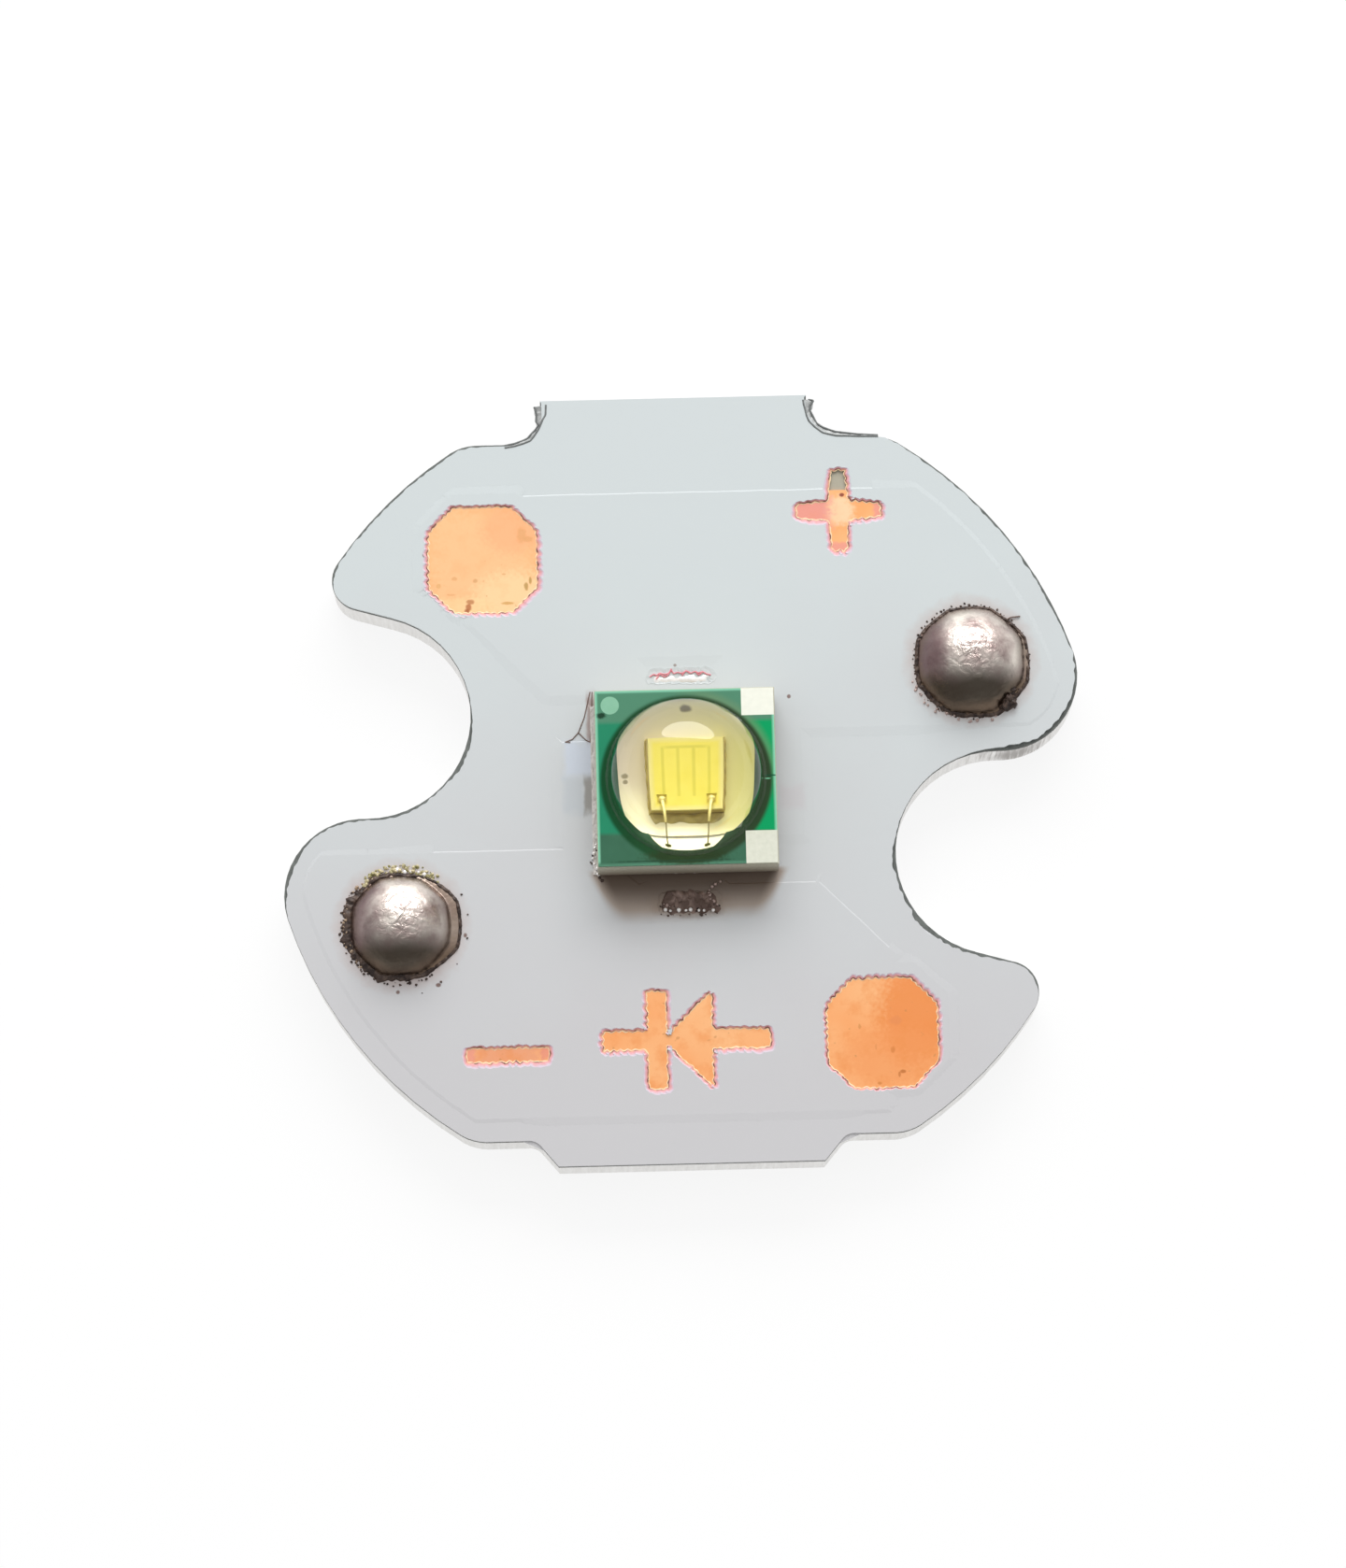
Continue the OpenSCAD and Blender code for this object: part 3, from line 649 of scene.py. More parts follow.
def silver_mirror():
    """Plated silver, its colours painted light and reflection: pinkish beige at the left, olive
    yellow at the right, greyer at the top and nearly white along the lower edge. Two pits and a
    needle mark are left in it."""
    made, tree, place = patterned("plated silver mirror", roughness=0.4, metallic=0.4)
    shifted, axes = seen_from(tree, place, TILE)
    lean = node(tree, "ShaderNodeVectorMath", {
        0: shifted, 1: (0.5, 1, 0)}, operation="DOT_PRODUCT")["Value"]
    # Painted light and reflection across the mirror
    colour = paint(tree, axes["X"], "#dccfb0", "#d8d37c", (-0.8 * MM, 0.9 * MM))
    colour = paint(tree, axes["Y"], colour, "#b9b594", (0.4 * MM, 0.95 * MM), (0.0, 0.5))
    colour = paint(tree, lean, colour, "#f2ebbe", (-0.3 * MM, -0.8 * MM), smooth=True)
    grit = node(tree, "ShaderNodeTexNoise", {"Vector": place, "Scale": per(0.08), "Detail": 3.0})
    colour = marked(tree, place, grit, colour, MIRROR_MARKS)
    return coated(made, colour, grit, 0.003, 0.4)


def clouded(name, dark, light, grain, rise=(), depth=0.003, strength=0.4, **sockets):
    """A plain finish that varies softly between two colours, with a trace of relief. Its grain and
    the depth of its relief are in millimetres, and the rise is where its pattern turns."""
    made, tree, place = patterned(name, **sockets)
    clouds = node(tree, "ShaderNodeTexNoise", {"Vector": place, "Scale": per(grain), "Detail": 3.0})
    return coated(made, paint(tree, clouds, dark, light, rise), clouds, depth, strength)


def speckled(name, dark, light, grain, roughness, metallic=0.0):
    """A clouded finish of a film, a thread or a crumb."""
    return clouded(name, dark, light, grain, roughness=roughness, metallic=metallic, ior=1.5)


def burnt_flux():
    """Burnt rosin flux: brown-black resin glass, blistered and shiny."""
    made, tree, place = patterned("burnt rosin flux", roughness=0.42, ior=1.53,
                                  specular_ior_level=0.3)
    clots = node(tree, "ShaderNodeTexNoise", {
        "Vector": place, "Scale": per(0.14), "Detail": 4.0, "Roughness": 0.6})
    colour = paint(tree, clots, "#30231f", "#69574d", (0.4, 0.68))
    return coated(made, colour, clots, 0.03, 0.9)


def flux_crystals():
    """Dried activator salts in the flux: yellow-green crystals, dull with bright facets."""
    made, tree, place = patterned("dried flux crystals", roughness=0.35, ior=1.55)
    tint = node(tree, "ShaderNodeTexNoise", {"Vector": place, "Scale": per(0.1), "Detail": 1.0})
    return coated(made, paint(tree, tint, "#8a8450", "#cfc29a", (0.4, 0.6)))


def chip_phosphor():
    """Cerium garnet powder in silicone, printed on the chip: a flat lemon yellow. It is thinner,
    and so a little browner, over the contact fingers and the bar that joins them."""
    made, tree, place = patterned("printed garnet phosphor", roughness=0.55)
    chip = middle("led_die")
    clouds = node(tree, "ShaderNodeTexNoise", {"Vector": place, "Scale": per(0.3), "Detail": 2.0})
    colour = paint(tree, clouds, "#e4d238", "#efe263")
    axes = seen_from(tree, place, (chip.x - FINGER_REACH, chip.y))[1]
    off_finger = node(tree, "ShaderNodeMath", {
        0: axes["X"], 1: FINGER_PITCH / 2 * MM}, operation="PINGPONG")
    finger = node(tree, "ShaderNodeMapRange", {
        "Value": off_finger, "From Min": 0.012 * MM, "From Max": 0.03 * MM, "To Min": 1.0,
        "To Max": 0.0})
    # The fingers run from the bar at the top to the contacts at the bottom
    width = FINGER_REACH + 0.02
    rise, half = FINGER_RUN
    inside = reach_from(tree, place, (chip.x, chip.y + rise), (width, half), True)
    kept = node(tree, "ShaderNodeMath", {0: inside, 1: 1.0}, operation="LESS_THAN")
    drawn = node(tree, "ShaderNodeMath", {0: finger, 1: kept}, operation="MULTIPLY")
    rise, half = FINGER_BAR
    bar = reach_from(tree, place, (chip.x, chip.y + rise), (width, half), True)
    barred = node(tree, "ShaderNodeMapRange", {
        "Value": bar, "From Min": 0.6, "From Max": 1.1, "To Min": 1.0, "To Max": 0.0})
    lines = node(tree, "ShaderNodeMath", {0: drawn, 1: barred}, operation="MAXIMUM")
    faint = node(tree, "ShaderNodeMath", {0: lines, 1: 0.55}, operation="MULTIPLY")
    colour = paint(tree, faint, colour, "#c9bd2c")
    rim = reach_from(tree, place, chip, (CHIP_HALF, CHIP_HALF), True)
    return coated(made, paint(tree, rim, colour, "#e6da8c", (0.84, 0.95), (0.0, 0.75)))


def clear_silicone():
    """Clear moulded silicone of the dome. Light from the lamps passes straight through it, so the
    chip below is lit as it is in the real one."""
    made, tree = material("moulded clear silicone", base_color=linear("#fffdf6"),
                          roughness=0.015, ior=1.5, transmission_weight=1.0)
    in_shadow = node(tree, "ShaderNodeLightPath")["Is Shadow Ray"]
    overlaid(made, in_shadow, node(tree, "ShaderNodeBsdfTransparent"))
    return made


# Marks on the finishes: centre, half sizes, colour, strength, and "box" for a square one
EPOXY_MARKS = (((3.15, 6.05), (0.45, 0.4), "#b1ab99", 1.0, "box"),)
COPPER_MARKS = (
    # Clouds on the upper and the lower bare pad
    ((-3.77, 4.5), (1.15, 1.15), "#ffc894", 0.9, "box"),
    ((-3.2, 5.15), (0.6, 0.5), "#fbb382", 0.6),
    ((-3.2, 3.8), (0.75, 0.5), "#ffd8a4", 0.85),
    ((-4.2, 3.6), (0.6, 0.2), "#ffd9a2", 0.7),
    ((4.3, -4.6), (0.7, 1.0), "#f2924e", 0.85),
    ((-3.45, -5.19), (0.7, 0.2), "#f0a47e", 0.8, "box"),
    ((3.9, -5.4), (1.0, 0.6), "#f79f60", 0.6),
    # The smudge and the smear on the upper pad
    ((-4.02, 3.7), (0.08, 0.05), "#c07c4c", 0.8),
    ((-4.05, 3.6), (0.06, 0.07), "#b86c40", 0.85),
    ((-4.09, 3.49), (0.05, 0.08), "#b0643c", 0.9),
    ((-3.0, 5.02), (0.09, 0.16), "#dba468", 0.5),
    ((-2.88, 4.93), (0.1, 0.06), "#dba468", 0.5),
    # Specks
    ((-4.32, 4.17), (0.06, 0.04), "#dfa66c", 0.6),
    ((-3.92, 4.12), (0.05, 0.04), "#cf9a62", 0.6),
    ((-3.36, 4.24), (0.04, 0.02), "#dfa66c", 0.6),
    ((-4.63, 4.03), (0.05, 0.05), "#dfac6c", 0.6),
    ((-4.38, 3.85), (0.09, 0.02), "#e0a66c", 0.5),
    ((-3.3, 3.66), (0.12, 0.03), "#cf9a4c", 0.7),
    ((-2.93, 3.99), (0.04, 0.08), "#b8914c", 0.8),
    ((-2.85, 4.1), (0.03, 0.08), "#b8914c", 0.8),
    ((3.25, -4.8), (0.03, 0.05), "#d48f4f", 0.6),
    ((3.95, -4.7), (0.12, 0.09), "#e8905a", 0.5),
    ((3.87, -5.26), (0.04, 0.06), "#d07c3c", 0.6),
    ((4.05, -5.68), (0.06, 0.035), "#b9692c", 0.7),
    ((3.98, -5.74), (0.025, 0.05), "#b9692c", 0.6),
    ((3.6, -5.9), (0.04, 0.03), "#c47832", 0.6),
    ((3.55, -5.2), (0.02, 0.06), "#e08f55", 0.5),
    # The plus sign is palest in the middle, and ink is left on it and on the minus sign's ends
    ((3.16, 5.36), (0.3, 0.3), "#ffd6ad", 0.95),
    ((2.6, 5.33), (0.42, 0.3), "#ea9a92", 0.85, "box"),
    ((4.0, 5.33), (0.16, 0.3), "#ec9c92", 0.8, "box"),
    ((3.16, 4.6), (0.3, 0.12), "#ec9c92", 0.8, "box"),
    ((3.24, 5.67), (0.05, 0.04), "#8a3d33", 0.9),
    ((-4.18, -5.17), (0.1, 0.2), "#f2a08c", 0.8, "box"),
    ((-2.72, -5.1), (0.1, 0.2), "#ee9584", 0.7, "box"),
)
MASK_MARKS = (
    # Flux round the front land, with the package's painted shadow over it
    ((0.06, -2.34), (0.78, 0.26), "#75625a", 0.75),
    # Flux beside the package's upper left corner and under its left side
    ((-1.72, 1.3), (0.1, 0.5), "#a08a84", 0.8, "box"),
    # Windows beside the package, whose ink is thin
    ((-1.96, 0.52), (0.3, 0.36), "#ced6e2", 0.9, "box"),
    ((-2.08, -0.19), (0.22, 0.38), "#c3c9ce", 0.8, "box"),
    ((-1.8, -0.19), (0.1, 0.37), "#97948f", 0.9, "box"),
    ((2.1, -0.31), (0.24, 0.24), "#ccc9cc", 0.7, "box"),
    # Specks
    ((-4.22, -2.86), (0.04, 0.05), "#6d4f45", 0.9),
    ((-4.75, -3.81), (0.05, 0.04), "#6d4f45", 0.9),
    ((-5.52, -3.93), (0.04, 0.04), "#6d4f45", 0.9),
    ((2.09, 1.67), (0.035, 0.04), "#7d5f58", 0.9),
    ((-0.09, 2.34), (0.03, 0.03), "#8d7a70", 0.8),
    ((-4.87, 4.65), (0.06, 0.06), "#6a3f38", 0.9),
)
COAT_MARKS = (
    # Painted shade along the lower edge of the dome
    ((TILE.x - 0.05, TILE_LOW.y + 0.18), (0.75, 0.17), "#26371b", 0.8),
    ((-1.53, 1.19), (0.09, 0.06), "#12321f", 0.9),
    ((1.68, -0.05), (0.14, 0.016), "#0b4a30", 0.9),
    ((1.62, -0.11), (0.06, 0.014), "#7fd0a4", 0.8),
    # The thin dark line inside its lower edge
    ((-0.2, TILE_LOW.y + 0.1), (1.05, 0.012), "#22402f", 0.8, "box"),
)
MIRROR_MARKS = (
    ((TILE.x + 0.016, TILE.y + 0.878), (0.07, 0.06), "#6b6348", 0.95),
    ((TILE.x - 0.81, TILE.y + 0.03), (0.05, 0.035), "#86794f", 0.9),
    ((TILE.x - 0.808, TILE.y - 0.05), (0.035, 0.03), "#86794f", 0.9),
)

ALUMINIUM = punched_aluminium()
EPOXY = filled_epoxy()
COPPER = bare_copper()
MASK = board_mask()
THIN_INK = thin_ink()
SOLDER = tin_solder()
# Reflowed solder in the thin joints: plain bright grey metal
JOINT = clouded("reflowed solder", "#b9b2ad", "#e2dfdb", 0.12, depth=0.02, strength=0.8,
                metallic=1.0, roughness=0.3)
# Solder at the front of the middle land, drowned in brown flux and darkened by the package's
# painted shadow, with a few dull lumps
FLUX_AND_SHADOW_SOLDER = clouded("flux-stained solder in painted shadow", "#5a463d", "#9a8379", 0.22, (0.45, 0.72), 0.03, 0.7,
                  roughness=0.5, metallic=0.2)
FLUX = burnt_flux()
CRYSTALS = flux_crystals()
ALUMINA = fired_alumina()
GREEN = green_coat()
# Glazed prints on the tile's corners: pale and satin, the lower one darker as painted shade
CREAM = speckled("cream glazed print", "#eef0e2", "#fdfef0", 0.12, 0.4)
SHADED_CREAM = speckled("cream print in painted shade", "#d3d6c4", "#ecedde", 0.1, 0.45)
# Thin green epoxy print on ceramic, which lets the tile show: pale green
DOT = speckled("pale green print", "#79b795", "#93c9ab", 0.3, 0.4)
SILVER = silver_mirror()
# Gold wire that was drawn through a die: bright lemon gold, and brown with painted shade along
# its thin end
GOLD = speckled("drawn gold wire", "#e3cf66", "#f8eca0", 0.1, 0.35, metallic=0.3)
SHADED_GOLD = speckled("drawn gold in painted shade", "#8b7c3e", "#b8a75a", 0.08, 0.4, metallic=0.3)
# Gold over nickel, plated on the pads: smooth yellow metal
PLATING = speckled("gold plating", "#c9ab62", "#e2cd8c", 0.2, 0.35, metallic=1.0)
# Sawn sapphire under the phosphor, which it takes its dull yellow from
CHIP = speckled("sapphire chip", "#b59b48", "#dcc86e", 0.2, 0.3)
# Gold bond darkened to olive as painted shade
SHADED_BOND = speckled("gold bond in painted shade", "#4f5222", "#7a7a38", 0.05, 0.45, metallic=0.3)
# Solder that splashed and set at once, painted nearly white as glints
PAINTED_GLINT_SOLDER = speckled("solder beads with painted glints", "#f3ece6", "#ffffff", 0.08, 0.25, metallic=0.3)
# Rosin that dried: dark brown in threads, tan in thin crumbs, pinkish grey with solder in it
DRIED_FLUX = speckled("dried flux thread", "#54403a", "#8f786d", 0.08, 0.4)
TAN_FLUX = speckled("tanned flux", "#8a7058", "#c4ad94", 0.06, 0.45)
PALE_FLAKES = speckled("frosted solder flakes", "#8f7a74", "#d9c0b8", 0.05, 0.4, metallic=0.4)
# Epoxy full of silver flakes, squeezed out beside the chip: grainy olive gold
ADHESIVE = speckled("silver-filled die adhesive", "#8a7430", "#dcc96c", 0.12, 0.5)
# Gold film on the chip, seen through the phosphor: dull yellow
CONTACT = speckled("thin gold contact", "#d6c338", "#ecdc60", 0.06, 0.5)
# Ink torn so thin that the copper below turns it pink
PINK_INK = speckled("torn ink edge", "#cf4a62", "#f3b4b9", 0.05, 0.45)
# Aluminium that the punch tore: dull mid grey, and darker lines beside it that are painted
# shade
BURR = speckled("torn aluminium burr", "#7c7e7d", "#d2d4d3", 0.07, 0.5, metallic=0.3)
BURR_SHADE_LINE = speckled("aluminium burr edge in painted shade", "#4f5151", "#8b8e8d", 0.08, 0.5, metallic=0.3)
PHOSPHOR = chip_phosphor()
SILICONE = clear_silicone()

# Each finish and the CAD nodes that have it
FINISHES = (
    (ALUMINIUM, "aluminium_base"),
    (EPOXY, "dielectric_layer"),
    (COPPER, "positive_copper", "negative_copper", "thermal_copper", "positive_vias",
     "negative_vias"),
    (MASK, "solder_mask"),
    (SOLDER, "positive_blob", "negative_blob"),
    (JOINT, "led_positive_solder", "led_negative_solder", "led_thermal_solder"),
    (PLATING, "led_positive_pad", "led_negative_pad", "led_thermal_pad"),
    (ALUMINA, "ceramic_substrate"),
    (SILVER, "anode_mirror", "cathode_strip"),
    (CREAM, "upper_corner_pad"),
    (SHADED_CREAM, "lower_corner_pad"),
    (GREEN, "package_coat"),
    (DOT, "polarity_dot"),
    (CHIP, "led_die"),
    (CONTACT, "die_contacts"),
    (PHOSPHOR, "phosphor_layer"),
    (GOLD, "left_bond_wire", "right_bond_wire"),
    (SILICONE, "dome_lens"),
)
for finish, *names in FINISHES:
    for name in names:
        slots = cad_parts[name].data.materials
        slots.clear()
        slots.append(finish)


# The camera leans towards the lower edge of the board, as the photograph's does
FRAME_HEIGHT = 1678
FOCAL_PIXELS = 5569.9
SENSOR = 36.0
LEAN = math.radians(12)
ROLL = math.radians(1.4)
STAND_OFF = Vector((-0.18371, -0.00805, 100.0))


def make_camera():
    """The camera at the photograph's angle and distance."""
    data = bpy.data.cameras.new("camera")
    data.sensor_width = SENSOR
    data.lens = FOCAL_PIXELS * SENSOR / FRAME_HEIGHT
    data.clip_start, data.clip_end = 5 * MM, 5.0
    data.dof.use_dof = False
    camera = bpy.data.objects.new("camera", data)
    bpy.context.collection.objects.link(camera)
    turn = (Matrix.Rotation(-LEAN, 3, "X") @ Matrix.Rotation(ROLL, 3, "Z")).transposed()
    place = (turn @ STAND_OFF + Vector((0, 0, FACE_Z))) * MM
    camera.matrix_world = Matrix.Translation(place) @ turn.to_4x4()
    bpy.context.scene.camera = camera


# Windows in the mask, as the photograph has them
PAD_WIDTH = 2.12
PAD_CUT = 0.5
TOOTH_PITCH = 0.14
TOOTH_DEPTH = 0.045
RIM_STEP = 0.04
SHEET_Z = FACE_Z - 0.006
# The ink's edge at a window: how many points draw a tooth, how often its corners are rounded, how
# far it hangs in past the window, how far out its brown line lies from there, the heights of the
# line and the edge over the foil, and how deep the edge is set in
TOOTH_POINTS = 7
ROUNDINGS = 14
WINDOW_HANG = 0.02
LINE_OUT = 0.048
LINE_RISE = 0.018
EDGE_RISE = 0.001
EDGE_ROOT = 0.01
# How far the mask over the pours, and its foot, stay inside the mask's rim
POUR_MARGIN = 0.12
FOOT_MARGIN = 0.03
POUR_STEP = 0.06


def plus_outline(centre, half, stroke, tip):
    """A plus sign whose arms narrow from stroke to tip, counter-clockwise."""
    s, t = stroke / 2, tip / 2
    corners = [
        (s, s), (t, half), (-t, half), (-s, s), (-half, t), (-half, -t),
        (-s, -s), (-t, -half), (t, -half), (s, -s), (half, -t), (half, t),
    ]
    return [Vector(centre) + Vector(corner) for corner in corners]


def diode_outline(centre, reach, height, stroke):
    """A plain diode sign whose point faces the minus sign, counter-clockwise."""
    s, bar, base, tip = stroke / 2, -0.75, 0.5, 0.1
    corners = [
        (reach, -s), (reach, s), (base, s), (base, height), (bar + stroke, tip),
        (bar + stroke, height), (bar, height), (bar, s), (-reach, s), (-reach, -s),
        (bar, -s), (bar, -height), (bar + stroke, -height), (bar + stroke, -tip),
        (base, -height), (base, -s),
    ]
    return [Vector(centre) + Vector(corner) for corner in corners]


BARE_PAD = Vector((-3.765, 4.53))
LOWER_PAD = Vector((3.69, -4.93))
# Each window's outline, and the side on which its ink thins out widest
WINDOWS = {
    "upper_pad": (cut_square(BARE_PAD, PAD_WIDTH, PAD_CUT), (0.8, -0.6)),
    "lower_pad": (cut_square(LOWER_PAD, PAD_WIDTH, PAD_CUT), (0.5, 0.4)),
    "plus": (plus_outline((3.16, 5.36), 0.82, 0.4, 0.29), (0.4, -0.9)),
    "minus": (box_outline((-4.24, -5.33), (-2.66, -5.05)), (0.2, -0.9)),
    "diode": (diode_outline((-0.04, -4.97), 1.6, 0.95, 0.38), (0.6, -0.8)),
    "land_top": (box_outline((-0.54, 2.02), (0.58, 2.14)), (0.0, 1.6)),
    "land_front": (box_outline((-0.44, -2.5), (0.6, -2.14)), (0.0, -1.0)),
}


def softened(outline, passes):
    """The outline with its corners rounded by that many passes."""
    for _ in range(passes):
        outline = [
            (a + 2 * b + c) / 4
            for a, b, c in zip(outline[-1:] + outline[:-1], outline, outline[1:] + outline[:1])
        ]
    return outline


def toothed(edge, seed):
    """The outline with the uneven teeth that the printing screen's mesh leaves in the ink."""
    length = sum((b - a).length for a, b in sides_of(edge))
    count = max(1, round(length / TOOTH_PITCH))
    moved = []
    for i, (point, way) in enumerate(zip(edge, outward(edge))):
        phase = count * i / len(edge) + 0.4 * jitter(point, 0.3, seed)
        bite = abs(2 * (phase % 1) - 1) - 0.5
        size = TOOTH_DEPTH * max(0.15, 0.6 + 0.9 * jitter(point, 0.45, seed + 3))
        moved.append(point + way * (size * bite + 0.02 * jitter(point, 0.2, seed + 5)))
    return moved


# Hollow rounds beside the wider tab, as far out as the ink runs on the burr: centre and radius
HOLLOWS = ((Vector((-3.2, 7.46)), 0.66), (Vector((3.3, 7.57)), 0.725))
HOLLOW_RUN = 0.9


def hollowed(point):
    """A rim point carried out to the round beside the tab where it lies short of it."""
    for centre, radius in HOLLOWS:
        away = point - centre
        if not -radius - 0.2 < away.y < 0 or away.length < radius or abs(away.x) > HOLLOW_RUN:
            continue
        if away.x * centre.x < 0 and abs(away.x) < radius + 0.1:
            return centre + away.normalized() * radius
        if away.x * centre.x >= 0:
            share = min(1.0, 2 - 2 * abs(away.x) / HOLLOW_RUN)
            return Vector((point.x, point.y + share * max(0.0, -radius - away.y)))
    return point


# How far the mask stays back all round, and how much further along edges that face up
MASK_BACK = 0.006
RIM_BARE = 0.05
# Places along the board's rim where the punch tore the mask back further
TORN = (
    ((-4.13, 0.48), 0.6, 0.07), ((-5.5, -0.6), 1.4, 0.035), ((-7.5, -1.5), 0.8, 0.05),
    ((4.9, -2.9), 1.3, 0.1), ((3.3, 7.0), 0.9, 0.05), ((-3.2, 6.8), 1.0, 0.06),
    ((6.4, 0.5), 1.0, 0.06), ((7.3, 1.2), 1.5, 0.07), ((4.0, -1.4), 0.9, 0.04),
)


def torn_back(point, way):
    """How far the mask stays back from the board's rim. The rim is bare along edges that face up
    or sideways, and whole along the lower ones and at the end of the wider tab."""
    if point.y > BOARD_HIGH.y - 0.35 and way.y > 0.7:
        return -0.004
    t = min(1.0, max(0.0, (way.y + 0.5) / 0.85))
    bare = RIM_BARE * t * t * (3 - 2 * t)
    for centre, reach, extra in TORN:
        bare += extra * max(0.0, 1 - (point - Vector(centre)).length / reach)
    rough = 0.9 + 0.6 * jitter(point, 0.7, 3.3) + 0.5 * jitter(point, 0.13, 8.1)
    return -MASK_BACK - max(0.0, bare * rough)


def kept_inside(outline, rim, margin):
    """The outline with each point at least a margin inside a rim."""
    tree = KDTree(len(rim))
    for i, point in enumerate(rim):
        tree.insert((point.x, point.y, 0), i)
    tree.balance()
    ways, kept = outward(rim), []
    for point in outline:
        near = [i for _, i, _ in tree.find_n((point.x, point.y, 0), 3)]
        depth, i = min(((rim[i] - point).dot(ways[i]), i) for i in near)
        kept.append(point + ways[i] * min(0.0, depth - margin))
    return kept


# The run of ink down from the copper's edge: short on a step that shows, and long elsewhere
STEP_SHORT = 0.13
STEP_LONG = 1.1


def step_run(point, way):
    """How far the ink runs down from the copper's edge. It is short, and so a pale line, only
    where the photograph shows one: along the top of each pour and beside the lower bare pad."""
    start, end = (-3.05, 3.85) if point.y > 0 else (-4.8, 3.85)
    level = way.y > 0.97 and start < point.x < end
    slope = way.y > 0.6 and way.x > 0.5 and point.y < 0 and point.x < end
    return STEP_SHORT if level or slope else STEP_LONG


def make_mask():
    """The printed mask: a sheet over the insulation, raised where it runs over copper."""
    holes = []
    for seed, (name, (outline, widest)) in enumerate(WINDOWS.items()):
        edge = softened(stepped(outline, TOOTH_PITCH / TOOTH_POINTS), ROUNDINGS)
        inner = grown(toothed(edge, seed * 11.3), lambda p, n: -WINDOW_HANG)
        line = grown(inner, lambda p, n: LINE_OUT + 0.015 * jitter(p, 0.1, seed + 20.5))

        def fringe(point, way, seed=seed, widest=Vector(widest)):
            share = max(0.0, way.dot(widest), abs(way.x) * widest.length - 0.4)
            return max(0.008, 0.012 + 0.07 * share + 0.02 * jitter(point, 0.15, seed + 50.5))

        outer = grown(line, fringe)
        rows = [(outer, FACE_Z), (line, FOIL_Z + LINE_RISE), (inner, FOIL_Z + EDGE_RISE)]
        corners, faces = ring_wall(rows, FOIL_Z - EDGE_ROOT)
        finish = MASK if name.startswith("land") else THIN_INK
        piece(f"ink_edge_{name}", corners, faces, finish)
        holes.append(outer)

    board = stepped(top_outline("aluminium_base"), RIM_STEP)
    rim = [hollowed(point) for point in grown(board, torn_back)]
    corners, faces = plate(rim, holes, INSULATION_Z, SHEET_Z)
    sheet = piece("mask_sheet", corners, faces, MASK)
    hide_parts("solder_mask")
    crumbled = grown(board, lambda p, n: -0.004 - 0.006 * abs(jitter(p, 0.15, 31.5)))
    corners, faces = plate(crumbled, [], span("dielectric_layer")[0].z, INSULATION_Z)
    sheet = piece("insulation_sheet", corners, faces, EPOXY)
    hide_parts("dielectric_layer")

    for name in ("positive_copper", "negative_copper"):
        edge = stepped(top_outline(name), POUR_STEP)
        raised = grown(edge, lambda p, n: 0.01 + 0.01 * jitter(p, 0.5, 21.0))
        raised = kept_inside(raised, rim, POUR_MARGIN)
        foot = kept_inside(grown(raised, step_run), rim, FOOT_MARGIN)
        inside = [h for h in holes if within(h[0], raised)]
        corners, faces = plate(raised, inside, FOIL_Z, FACE_Z, foot)
        piece(f"mask_over_{name}", corners, faces, MASK)


# Solder blobs on the wire pads
BLOB_RINGS = 44
BLOB_SIDES = 144
BLOB_SEEDS = {"positive_blob": 3.1, "negative_blob": 7.7}
# How far a dome's foot goes from a circle to the pad's octagon, and the apron's least width and
# its rise beside the dome
OCTAGON_SHARE = 0.5
LIP = 0.04
APRON_RISE = 0.07
# Room for the lumps of a blob's skin below the CAD blob's top
LUMP_ROOM = 0.035
# The flux ring's rows, how far it reaches in over the apron's edge, and how thick it lies there
FLUX_ROWS = 6
FLUX_TUCK = 0.05
FLUX_THICK = 0.04


def dome_reach(angle, radius, seed):
    """Distance from a blob's centre to its dome's foot: between a circle and the pad's octagon."""
    eighth = math.pi / 4
    octagon = radius / math.cos((angle + eighth / 2) % eighth - eighth / 2)
    waver = 0.035 * noise.noise(Vector((math.cos(angle) * 1.6, math.sin(angle) * 1.6, seed)))
    return radius + OCTAGON_SHARE * (octagon - radius) + waver


def apron_reach(angle, name, seed):
    """Distance from a blob's centre to the outer edge of the thin apron round its dome."""
    _, radius, apron, heading = BLOB_SEATS[name]
    towards = max(0.0, math.cos(angle - math.radians(heading)))
    return dome_reach(angle, radius, seed) + LIP + apron * towards ** 2


